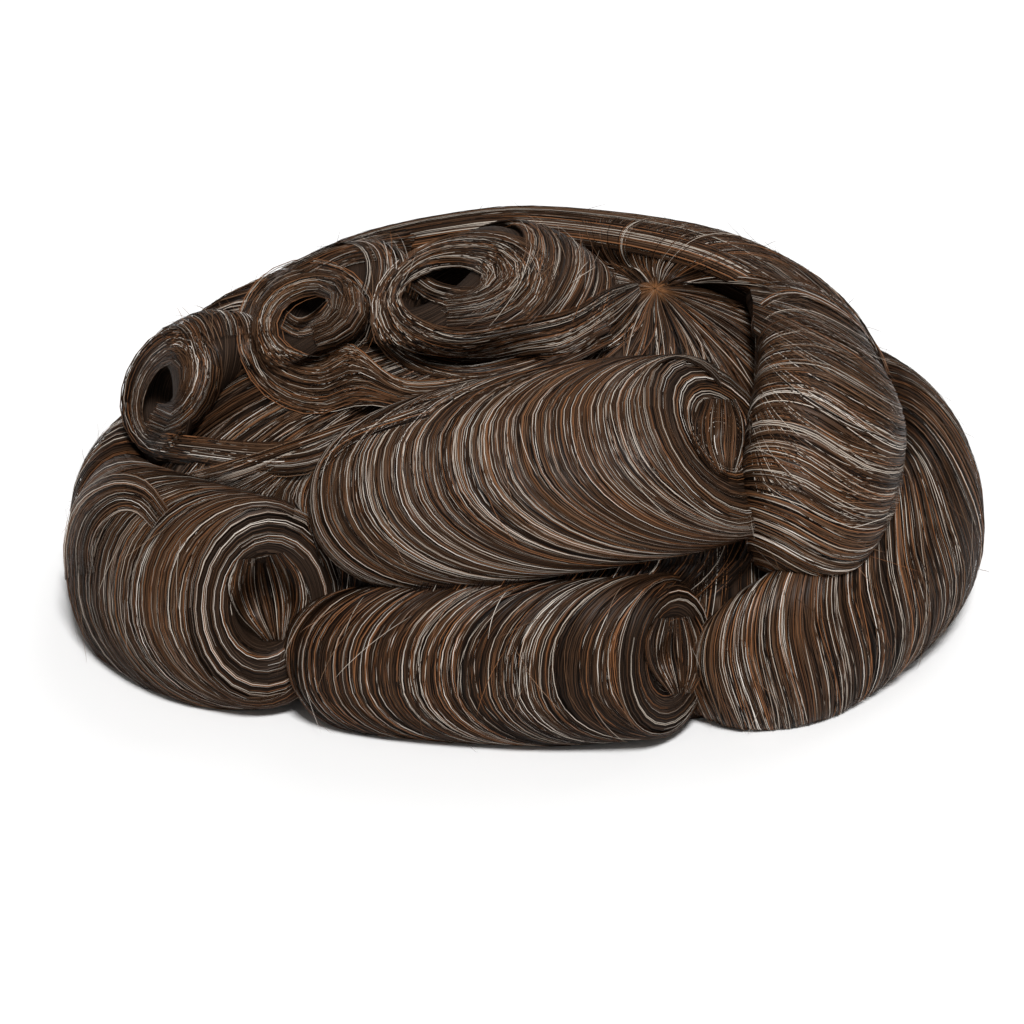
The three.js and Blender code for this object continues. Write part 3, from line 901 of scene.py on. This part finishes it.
def waves(clumps, member, steps, size):
    """A slow wander for each clump and a smaller one for each strand."""
    length = np.linspace(0, 1, steps)
    group = rng.normal(0, 1, (clumps, 2))[member]
    own = rng.normal(0, 1, (len(member), 2))
    slow = (group[:, :1] * np.sin(length * HALF_WAVE)
            + group[:, 1:] * np.sin(length * WHOLE_WAVE))
    fine = own[:, :1] * length + own[:, 1:] * np.sin(length * HALF_WAVE)
    return size * (CLUMP_WANDER * slow + OWN_WANDER * fine)


def settle(places, normals, height):
    """Lays what is below the bed on it."""
    inside = (dome_share(places) < 1)[..., None]
    kept = keep_outside(places, 0.0, LYING_HEIGHT)
    bed_normals = dome_normal(kept)
    kept = kept + np.where(inside, bed_normals * height[..., None] * SUNK_SHARE, 0)
    return kept, np.where(inside, bed_normals, normals)


def clump_heights(clumps, member, offset, low, high):
    """Clumps are rounded, so the strands in the middle of one lie higher."""
    heap = rng.uniform(0.0, 1.0, clumps)[member] * np.exp(-offset ** 2)
    loose = rng.uniform(0, 1, len(member))
    return low + (high - low) * (HEAP_SHARE * heap + (1 - HEAP_SHARE) * loose)


Dress = namedtuple("Dress", "arcs steps spirals start end sweep_in sweep_out grey base width")
CLUMP_SIZE = 5
SWEEP_IN_BEFORE = -20
SWEEP_OUT_AFTER = 10
SWEEP_SPAN = 100
SWEEP_POWER = 1.6
RING_OFFSET = 0.3
RING_WANDER = 0.3
ROLL_HEIGHTS = (0.1 * MM, 0.9 * MM)
SPIRAL_STEPS = 24
SPIRAL_ANGLE = 15
SPIRAL_CLUMP = 4
SPIRAL_INWARD = (0.3, 1.3)
SPIRAL_OFFSET = 0.4
SPIRAL_WANDER = 0.12
SPIRAL_HEIGHTS = (0.1 * MM, 0.8 * MM)


def arc_paths(stack, dress):
    """Strands that go round the roll. sweep_in and sweep_out bend their ends along it."""
    count = dress.arcs
    clumps, member, offset = clump_up(count, CLUMP_SIZE)
    rings = (stack["first"] - 1, stack["last"] + 0.5)
    angle = np.linspace(dress.start, dress.end, dress.steps)[None]
    even = (np.arange(clumps) + rng.uniform(0, 1, clumps)) / clumps
    ring = (rings[0] + (rings[1] - rings[0]) * even)[member] + offset * RING_OFFSET
    before = np.clip((SWEEP_IN_BEFORE - angle) / SWEEP_SPAN, 0, None)
    after = np.clip((angle - SWEEP_OUT_AFTER) / SWEEP_SPAN, 0, None)
    incoming = before ** SWEEP_POWER * dress.sweep_in
    leaving = after ** SWEEP_POWER * dress.sweep_out
    ring = ring[:, None] + incoming + leaving + waves(clumps, member, dress.steps, RING_WANDER)
    height = clump_heights(clumps, member, offset, *ROLL_HEIGHTS)
    return ring, angle + np.zeros_like(ring), height, clumps, member


def spiral_paths(stack, count):
    """Strands that wind round the eye and down into it."""
    clumps, member, offset = clump_up(count, SPIRAL_CLUMP)
    begin = rng.uniform(stack["last"] - 2, stack["last"] + 5 * END_STEPS, clumps)[member]
    length = np.linspace(0, 1, SPIRAL_STEPS)
    inward = rng.uniform(*SPIRAL_INWARD, clumps)[member] * END_STEPS
    ring = (begin + offset * SPIRAL_OFFSET)[:, None] + inward[:, None] * length ** 1.3
    ring = np.minimum(ring + waves(clumps, member, SPIRAL_STEPS, SPIRAL_WANDER),
                      len(stack["middles"]) - 2)
    first = rng.integers(0, 24, clumps)[member] + rng.integers(-1, 2, count)
    angle = SPIRAL_ANGLE * (first[:, None] + np.arange(SPIRAL_STEPS))
    height = clump_heights(clumps, member, offset, *SPIRAL_HEIGHTS)
    return ring, angle, height, clumps, member


print("paths ready")

# %% [markdown]
# Each roll is dressed by one row of a table. It says how many strands go round the roll and how
# many wind into its eye, at which angles they start and end, how far their ends sweep along the
# roll, the share of grey strands and how dark the rest are.

# %% Strands round the rolls
DRESSES = {
    "crown_roll": Dress(1000, 25, 0, -112, 122, -5, 3, 0.14, 0.36, 0.25 * MM),
    "side_roll_near": Dress(2300, 27, 300, -108, 118, 9, 5, 0.17, 0.37, 0.17 * MM),
    "curl_top": Dress(360, 22, 0, 172, -62, 0, 0, 0.14, 0.34, 0.24 * MM),
    "curl_middle": Dress(240, 22, 0, 172, -62, 0, 0, 0.13, 0.32, 0.24 * MM),
    "curl_front": Dress(220, 22, 0, 172, -62, 0, 0, 0.13, 0.31, 0.24 * MM),
    "rim_roll_front": Dress(360, 16, 0, -118, 118, 0, 0, 0.14, 0.28, 0.34 * MM),
    "rim_roll_nape": Dress(1720, 24, 0, -112, 142, 3, -2, 0.13, 0.34, 0.22 * MM),
    "rim_roll_side_near": Dress(1560, 25, 200, -110, 135, 3, 4, 0.10, 0.28, 0.19 * MM),
    "rim_roll_temple_near": Dress(1400, 25, 200, -110, 135, 4, 5, 0.13, 0.35, 0.19 * MM),
    "rim_roll_side_far": Dress(480, 16, 60, -115, 120, 3, 4, 0.14, 0.28, 0.40 * MM),
    "rim_roll_temple_far": Dress(480, 16, 80, -115, 120, 4, 5, 0.14, 0.28, 0.40 * MM),
}

for name, dress in DRESSES.items():
    stack = STACKS[name]
    kinds = {"arcs": arc_paths(stack, dress)}
    if dress.spirals:
        kinds["spiral"] = spiral_paths(stack, dress.spirals)
    for kind, (ring, angle, height, clumps, member) in kinds.items():
        raised = height[:, None] + np.zeros(ring.shape)
        places, normals = settle(*on_roll(stack, ring, angle, raised), raised)
        lay(f"{name}_{kind}", places, normals, clumps, member, dress.grey,
            dress.base, dress.width)
print("strand triangles so far:", sum(TRIANGLES.values()))

# %% [markdown]
# ## The bed
# On the bed the hair grows out from the crown in all directions. The bed is drawn as a flat map,
# in which the distance from the middle is the fall and the direction is the turn. A few guides
# on this map run from the crown to the rim, and every strand of the bed follows a mix of its two
# nearest guides. Most guides are nearly straight. Those on the near side bend round the pin
# curls first and fall down the side after that. All strands are pulled together at the whorl,
# so that only a small tan spot shows between their roots.

# %% Guides of the bed
GUIDES = np.array([
    [(0.190, 0.083), (0.33, 0.07), (0.50, 0.05), (0.66, 0.04), (0.82, 0.02), (0.99, 0.00)],
    [(0.190, 0.075), (0.30, 0.00), (0.45, -0.10), (0.60, -0.20), (0.75, -0.30), (0.92, -0.36)],
    [(0.187, 0.070), (0.26, -0.04), (0.36, -0.18), (0.46, -0.34), (0.56, -0.52), (0.68, -0.72)],
    [(0.178, 0.065), (0.21, -0.06), (0.26, -0.22), (0.31, -0.42), (0.36, -0.64), (0.42, -0.90)],
    [(0.168, 0.063), (0.15, -0.07), (0.13, -0.24), (0.11, -0.46), (0.10, -0.70), (0.10, -0.98)],
    [(0.160, 0.066), (0.12, -0.08), (0.03, -0.25), (-0.06, -0.45), (-0.12, -0.70), (-0.14, -0.98)],
    [(0.158, 0.068), (0.10, -0.09), (-0.06, -0.26), (-0.26, -0.42), (-0.35, -0.64), (-0.36, -0.92)],
    [(0.155, 0.072), (0.07, -0.08), (-0.14, -0.235), (-0.38, -0.33), (-0.58, -0.45), (-0.7, -0.62)],
    [(0.152, 0.075), (0.04, -0.06), (-0.18, -0.17), (-0.46, -0.225), (-0.7, -0.26), (-0.92, -0.3)],
    [(0.150, 0.080), (0.02, -0.01), (-0.20, -0.06), (-0.45, -0.08), (-0.72, -0.08), (-0.99, -0.06)],
    [(0.150, 0.087), (0.02, 0.06), (-0.18, 0.08), (-0.42, 0.12), (-0.68, 0.17), (-0.96, 0.20)],
    [(0.155, 0.094), (0.05, 0.16), (-0.12, 0.27), (-0.32, 0.38), (-0.53, 0.50), (-0.74, 0.62)],
    [(0.161, 0.100), (0.10, 0.22), (0.00, 0.37), (-0.12, 0.54), (-0.22, 0.72), (-0.32, 0.92)],
    [(0.171, 0.103), (0.17, 0.24), (0.16, 0.42), (0.15, 0.60), (0.14, 0.78), (0.12, 0.98)],
    [(0.181, 0.100), (0.24, 0.20), (0.33, 0.33), (0.42, 0.47), (0.50, 0.62), (0.58, 0.80)],
    [(0.188, 0.093), (0.29, 0.13), (0.43, 0.19), (0.57, 0.25), (0.71, 0.31), (0.88, 0.38)],
])
WHORL = np.array([0.171, 0.083])
ROOT_PULL = 0.12
MOST_FALL = 0.992


def from_map(flat, lift):
    """Places and normals on the bed from the flat map."""
    fall = np.minimum(np.linalg.norm(flat, axis=-1), MOST_FALL)
    turn = np.degrees(np.arctan2(flat[..., 1], flat[..., 0]))
    places = dome(turn, fall)
    normals = dome_normal(places)
    return places + normals * lift[..., None], normals


print("guides:", len(GUIDES))

# %% Strands of the bed
BED_STEPS = 14
BED_CLUMP = 6
BED_LOW = 0.1 * MM
BED_GREY = 0.14
BED_TONE = 0.36
GUIDE_SPREAD = 0.05
STRAY = 0.012
STRAY_SHARES = np.array([0.1, 0.6, 1, 1, 1, 1])[None, :, None]


def bed_strands(name, count, begin, reach, lift, width, material):
    """Strands that follow the guides from the share begin of them, for the share reach."""
    clumps, member, offset = clump_up(count, BED_CLUMP)
    heading = rng.uniform(0, len(GUIDES), clumps)[member] + offset * GUIDE_SPREAD
    low_guide = np.floor(heading).astype(int)
    mix = (heading - low_guide)[:, None, None]
    own = GUIDES[low_guide % len(GUIDES)] * (1 - mix) + GUIDES[(low_guide + 1) % len(GUIDES)] * mix
    stray = rng.normal(0, STRAY, (clumps, *GUIDES.shape[1:]))[member]
    own = own + stray * STRAY_SHARES
    own[:, 0] = WHORL + ROOT_PULL * (own[:, 0] - WHORL)
    start = rng.uniform(*begin, clumps)[member] + rng.uniform(0, 0.03, count)
    length = np.minimum(rng.uniform(*reach, clumps)[member], 1 - start)
    share = start[:, None] + length[:, None] * np.linspace(0, 1, BED_STEPS)
    height = clump_heights(clumps, member, offset, BED_LOW, lift)
    hill = np.sin(np.pi * np.linspace(0.04, 0.96, BED_STEPS)) ** 0.5
    places, normals = from_map(curve(own, share), height[:, None] * hill)
    lay(name, places, normals, clumps, member, BED_GREY, BED_TONE, width,
        material)


bed_strands("crown_strands", 1600, begin=(0, 0), reach=(0.4, 0.6), lift=1.6 * MM,
            width=0.20 * MM, material=crown_hair)
bed_strands("bed_strands", 2250, begin=(0.05, 0.62), reach=(0.38, 0.7), lift=1.0 * MM,
            width=0.25 * MM, material=strand_hair)
print("strand triangles so far:", sum(TRIANGLES.values()))

# %% [markdown]
# ## Drawing on the forms
# Some hair is easier to draw than to calculate. A line that is drawn in the picture can be cast
# onto the forms. A ray goes from the camera through each point of the line, and the strand is
# laid where the ray meets a form. Where a line crosses from a high form to a low one its depth
# jumps, so the depths along a strand are smoothed, and the strand hangs over the step. Where a
# ray meets nothing, at the very edge, the depth is taken from the strand's nearest points. All
# coordinates of these lines are pixels of the picture, counted from its top left corner.

# %% Cast lines from the picture onto the forms
SMOOTHING = np.array([1, 2, 3, 2, 1]) / 9
SMOOTHING_ROUNDS = 3
FINE_STEPS = 120
picture_eye = np.array(aim + CAMERA_DISTANCE * back)
corners, faces = [], []
for body in [*BODIES.values(), bed]:
    faces += [[len(corners) + index for index in face.vertices] for face in body.data.polygons]
    corners += [vert.co.copy() for vert in body.data.vertices]
forms = BVHTree.FromPolygons(corners, faces)


def smooth_along(values):
    """Softens each strand's row of values with those of its neighbours along it."""
    reach = len(SMOOTHING) // 2
    padded = np.pad(values, [(0, 0), (reach, reach)] + [(0, 0)] * (values.ndim - 2), mode="edge")
    return sum(weight * padded[:, step:step + values.shape[1]]
               for step, weight in enumerate(SMOOTHING))


def cast(pixels, lift):
    """Places and normals on the forms for strands drawn in pixels of the picture."""
    flat = (pixels - PICTURE_SIDE / 2) * PIXEL
    through = np.array(aim) + flat[..., :1] * np.array(right) - flat[..., 1:] * np.array(up)
    ways = unit(through - picture_eye)
    depths = np.full(pixels.shape[:2], np.nan)
    normals = np.tile(np.array(back), (*pixels.shape[:2], 1))
    for place in np.ndindex(depths.shape):
        _, normal, _, distance = forms.ray_cast(Vector(picture_eye), Vector(ways[place]))
        if normal is not None:
            depths[place] = distance
            normals[place] = normal if normal.dot(Vector(ways[place])) < 0 else -normal
    for row in depths:
        met = np.flatnonzero(~np.isnan(row))
        missed = np.flatnonzero(np.isnan(row))
        row[missed] = np.interp(missed, met, row[met])
    softened = depths
    for _ in range(SMOOTHING_ROUNDS):
        softened = smooth_along(softened)
    depths = np.minimum(depths, softened)
    normals = unit(smooth_along(smooth_along(normals)))
    return picture_eye + ways * depths[..., None] + normals * lift[..., None], normals


def drawn_curve(points, steps):
    """Curves through the points with steps of even length, so that no chord is long."""
    fine = curve(points, np.linspace(0, 1, FINE_STEPS) + np.zeros((len(points), 1)))
    lengths = np.linalg.norm(np.diff(fine, axis=1), axis=-1).cumsum(axis=1)
    lengths = np.pad(lengths, [(0, 0), (1, 0)])
    even = np.empty((len(points), steps, 2))
    for row, (line, length) in enumerate(zip(fine, lengths)):
        stops = np.linspace(0, length[-1], steps)
        even[row, :, 0] = np.interp(stops, length, line[:, 0])
        even[row, :, 1] = np.interp(stops, length, line[:, 1])
    return even


def lanes_of(clumps, member, offset, first, spread):
    """A lane from first to 1 for each strand. Its clump has a lane of its own."""
    own = rng.permutation(np.linspace(first, 1, clumps))
    return np.clip(own[member] + offset * spread, 0, 1)


print("forms to draw on:", len(faces), "faces")

# %% [markdown]
# ## Pin curls
# A pin curl is a flat coil. Its hair comes from the crown, runs under the eye to the far end,
# turns up and back over the top and winds inwards. Two ellipses describe each one, the rim of
# its eye and its outermost turn, and two short lines the hair that feeds it, on the side of the
# eye and on the outside. A strand starts in its own lane between them and winds in as it goes
# round. The strands are cast onto the body of the curl, which has a real hollow at the eye.

# %% Coils
Ellipse = namedtuple("Ellipse", "x y wide high tilt")
Coil = namedtuple("Coil", "name feed_in feed_out eye outer strands base lift")
COIL_STEPS = 36
COIL_TURNS = np.radians(np.arange(62, 500, 36.5))
COIL_LOW = 0.4 * MM
COIL_WIDTH = 0.21 * MM
COIL_GREY = 0.12
COIL_WANDER = 2.0
LANE_SPREAD = 0.04
OUTER_LANES = 0.3
INNERMOST = -0.5
WINDING = (0.45, 1.1)
WINDING_SPREAD = 0.05
WINDING_SPAN = 5.5
COILS = (
    Coil("curl_front", ((446, 392), (385, 404), (290, 432)), ((456, 403), (400, 428), (300, 474)),
         Ellipse(170, 388, 24, 42, 22), Ellipse(180, 390, 56, 74, 24), 540, 0.36, 1.2 * MM),
    Coil("curl_middle", ((600, 318), (500, 362), (400, 374)), ((612, 344), (520, 386), (425, 410)),
         Ellipse(312, 312, 46, 32, -28), Ellipse(312, 338, 82, 84, -10), 560, 0.37, 1.5 * MM),
    Coil("curl_top", ((634, 282), (606, 272), (570, 290)), ((640, 300), (612, 336), (560, 366)),
         Ellipse(455, 286, 62, 30, -10), Ellipse(474, 306, 112, 82, -14), 640, 0.38, 1.9 * MM),
)


def coil_point(coil, lane, turn):
    """Pixels at an angle of a coil. lane is 0 at the rim of the eye and 1 at the outside."""
    share = np.clip(lane, 0, 1)[..., None]
    x, y, wide, high, tilt = np.moveaxis(np.array(coil.eye) * (1 - share)
                                         + np.array(coil.outer) * share, -1, 0)
    shrink = 1 + np.minimum(lane, 0)
    along = wide * shrink * np.cos(turn)
    across = high * shrink * np.sin(turn)
    tilt = np.radians(tilt)
    return np.stack([x + along * np.cos(tilt) - across * np.sin(tilt),
                     y + along * np.sin(tilt) + across * np.cos(tilt)], axis=-1)


for coil in COILS:
    clumps, member, offset = clump_up(coil.strands, CLUMP_SIZE)
    lane = lanes_of(clumps, member, offset, OUTER_LANES, LANE_SPREAD)
    winding = rng.uniform(*WINDING, clumps)[member]
    winding = winding + WINDING_SPREAD * rng.normal(0, 1, coil.strands)
    lanes = lane[:, None] - winding[:, None] * (COIL_TURNS - COIL_TURNS[0]) / WINDING_SPAN
    lanes = np.maximum(lanes, INNERMOST)
    loop = coil_point(coil, lanes, COIL_TURNS + 0 * lanes)
    feed = np.array(coil.feed_in) + lane[:, None, None] * np.subtract(coil.feed_out, coil.feed_in)
    drawn = drawn_curve(np.concatenate([feed, loop], axis=1), COIL_STEPS)
    drawn = drawn + waves(clumps, member, COIL_STEPS, COIL_WANDER)[..., None]
    height = clump_heights(clumps, member, offset, COIL_LOW, coil.lift)
    places, normals = cast(drawn, height[:, None] + np.zeros(drawn.shape[:2]))
    lay(coil.name + "_coil", keep_outside(places), normals, clumps, member,
        COIL_GREY, coil.base, COIL_WIDTH)
print("strand triangles so far:", sum(TRIANGLES.values()))

# %% [markdown]
# ## Drawn locks
# The same rays lay some single locks. A few lines in the picture show how each lock is combed,
# and every strand of it runs somewhere between two of them. The front hook turns over the
# temple, the crown wave is combed over the crown roll, and the eye locks are the ends of hair
# that show inside the hollows.

# %% Locks between lines
Lock = namedtuple("Lock", "name slot strands steps lift base grey lines")
LOCK_LOW = 0.3 * MM
LOCK_WIDTH = 0.20 * MM
LOCK_WANDER = 1.2
LOCK_SPREAD = 0.02
LOCKS = (
    Lock("front_hook", "rolled_hair", 300, 18, 2.4 * MM, 0.36, 0.14,
         (((66, 580), (66, 540), (82, 500), (116, 480), (150, 486), (172, 512)),
          ((100, 572), (98, 548), (106, 528), (124, 514), (142, 516), (156, 530)))),
    Lock("temple_band", "combed_hair", 640, 18, 1.5 * MM, 0.36, 0.15,
         (((440, 398), (370, 420), (290, 446), (215, 468), (160, 484)),
          ((436, 406), (362, 430), (304, 456), (262, 478), (236, 490)),
          ((432, 412), (356, 440), (310, 472), (294, 496), (296, 508)),
          ((430, 420), (350, 450), (316, 496), (314, 536), (322, 566)))),
    Lock("crown_back", "combed_hair", 520, 16, 1.8 * MM, 0.37, 0.16,
         (((640, 290), (618, 274), (600, 254), (588, 236), (582, 222)),
          ((652, 286), (644, 264), (642, 246), (656, 232), (690, 226)),
          ((664, 285), (682, 264), (714, 250), (752, 250), (792, 262)),
          ((672, 289), (706, 281), (738, 284), (764, 292), (786, 304)))),
    Lock("crown_wave", "rolled_hair", 1250, 22, 1.4 * MM, 0.38, 0.17,
         (((750, 284), (796, 282), (842, 304), (876, 346), (894, 384)),
          ((756, 312), (798, 334), (848, 362), (886, 392), (902, 424)),
          ((756, 350), (790, 388), (842, 422), (884, 440), (903, 458)),
          ((754, 396), (780, 450), (832, 490), (874, 498), (896, 502)),
          ((752, 440), (764, 504), (806, 548), (848, 556), (876, 540)))),
    Lock("middle_ridge", "rolled_hair", 200, 12, 1.2 * MM, 0.34, 0.14,
         (((424, 222), (376, 234), (330, 248), (282, 268)),
          ((404, 262), (374, 262), (350, 266), (330, 276)))),
    # side_shade is painted shade: a lock of near-black strands laid in the shadowed gap between the
    # side roll and the rim roll.
    Lock("side_shade", "combed_hair", 480, 7, 0.7 * MM, 0.10, 0.03,
         (((345, 560), (342, 575), (340, 588), (338, 600)),
          ((762, 536), (754, 558), (736, 578), (712, 598)))),
    Lock("side_eye", "rolled_hair", 170, 12, 0.8 * MM, 0.34, 0.10,
         (((702, 400), (692, 422), (694, 448), (712, 474)),
          ((738, 400), (750, 422), (750, 448), (738, 474)))),
    Lock("temple_eye", "rolled_hair", 240, 12, 0.8 * MM, 0.33, 0.08,
         (((236, 560), (226, 586), (236, 616), (262, 642)),
          ((284, 552), (302, 574), (306, 604), (292, 640)))),
    Lock("rim_eye", "rolled_hair", 200, 12, 0.8 * MM, 0.32, 0.10,
         (((654, 618), (644, 642), (648, 668), (668, 694)),
          ((694, 616), (706, 638), (706, 664), (690, 692)))),
    Lock("top_eye", "rolled_hair", 130, 12, 0.6 * MM, 0.35, 0.12,
         (((408, 288), (430, 302), (468, 308), (508, 294)),
          ((416, 268), (440, 284), (474, 290), (504, 282)))),
    Lock("middle_eye", "rolled_hair", 110, 12, 0.6 * MM, 0.34, 0.12,
         (((280, 330), (300, 338), (326, 328), (346, 308)),
          ((284, 310), (300, 320), (318, 314), (334, 298)))),
)

for lock in LOCKS:
    clumps, member, offset = clump_up(lock.strands, CLUMP_SIZE)
    lane = lanes_of(clumps, member, offset, 0, LOCK_SPREAD)
    lines = np.array(lock.lines, dtype=float)
    across = lines.reshape(1, len(lines), -1) + np.zeros((lock.strands, 1, 1))
    own = curve(across, lane[:, None])[:, 0].reshape(lock.strands, -1, 2)
    wander = waves(clumps, member, lock.steps, LOCK_WANDER)
    drawn = drawn_curve(own, lock.steps) + wander[..., None]
    height = clump_heights(clumps, member, offset, LOCK_LOW, lock.lift)
    places, normals = cast(drawn, height[:, None] + np.zeros(drawn.shape[:2]))
    lay(lock.name, keep_outside(places), normals, clumps, member, lock.grey, lock.base,
        LOCK_WIDTH)
print("strand triangles so far:", sum(TRIANGLES.values()))

# %% [markdown]
# The far side is swept straight back. There the strands run along the form and not round it.

# %% The swept side
SWEPT_STRANDS = 1060
SWEPT_STEPS = 16
SWEPT_WIDTH = 0.30 * MM
SWEPT_ANGLES = (-105, 105)
SWEPT_WANDER = 2.0
SWEPT_GREY = 0.12
SWEPT_TONE = 0.33
stack = STACKS["side_sweep_far"]
clumps, member, offset = clump_up(SWEPT_STRANDS, CLUMP_SIZE)
length = np.linspace(0, 1, SWEPT_STEPS)
span = len(stack["middles"]) - 1
begin = rng.uniform(0, 0.55, clumps)[member] + rng.normal(0, 0.02, SWEPT_STRANDS)
reach = rng.uniform(0.35, 0.6, clumps)[member]
ring = np.clip(begin[:, None] + reach[:, None] * length, 0, 1) * span
angle = (rng.uniform(*SWEPT_ANGLES, clumps)[member] + offset * 4)[:, None]
angle = angle + waves(clumps, member, SWEPT_STEPS, SWEPT_WANDER)
height = clump_heights(clumps, member, offset, *ROLL_HEIGHTS)[:, None] + np.zeros(ring.shape)
places, normals = settle(*on_roll(stack, ring, angle, height), height)
lay("side_sweep_strands", places, normals, clumps, member, SWEPT_GREY, SWEPT_TONE,
    SWEPT_WIDTH)
print("swept strands:", SWEPT_STRANDS)

# %% [markdown]
# ## Flyaways
# A few hairs always escape. They leave the forms at a small angle and end in the air, and they
# soften the outline.

# %% Flyaways
FLYAWAYS = 46
FLYAWAY_STEPS = 12
FLYAWAY_WIDTH = 0.13 * MM
FLYAWAY_FOOT = 0.8 * MM
FLYAWAY_ESCAPE = (0.5, 3.6)
FLYAWAY_ANGLES = (-80, 30)
FLYAWAY_SPANS = (18, 50)
length = np.linspace(0, 1, FLYAWAY_STEPS)
for name, stack in STACKS.items():
    ring = rng.uniform(stack["first"] + 1, stack["last"], FLYAWAYS)[:, None]
    ring = ring + rng.normal(0, 1.2, (FLYAWAYS, 1)) * length
    begin = rng.uniform(*FLYAWAY_ANGLES, (FLYAWAYS, 1))
    angle = begin + rng.uniform(*FLYAWAY_SPANS, (FLYAWAYS, 1)) * length
    escape = rng.uniform(*FLYAWAY_ESCAPE, (FLYAWAYS, 1)) * MM
    raised = FLYAWAY_FOOT + escape * length ** 1.8
    places, normals = settle(*on_roll(stack, ring, angle, raised), raised)
    tone = rng.uniform(0.3, 0.95, FLYAWAYS)
    widths = np.full(FLYAWAYS, FLYAWAY_WIDTH)
    mesh = ribbons(name + "_flyaways", places, normals, widths, tone)
    finish_piece(name + "_flyaways", mesh, strand_hair)
print("flyaways:", FLYAWAYS * len(STACKS))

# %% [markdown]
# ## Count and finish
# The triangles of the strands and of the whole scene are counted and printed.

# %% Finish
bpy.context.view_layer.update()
everything = sum(2 * len(item.data.polygons) for item in bpy.data.objects
                 if item.type == "MESH" and item.name in bpy.context.scene.objects)
print("strand triangles:", sum(TRIANGLES.values()), "largest:", max(TRIANGLES.values()),
      "all, nearly:", everything)
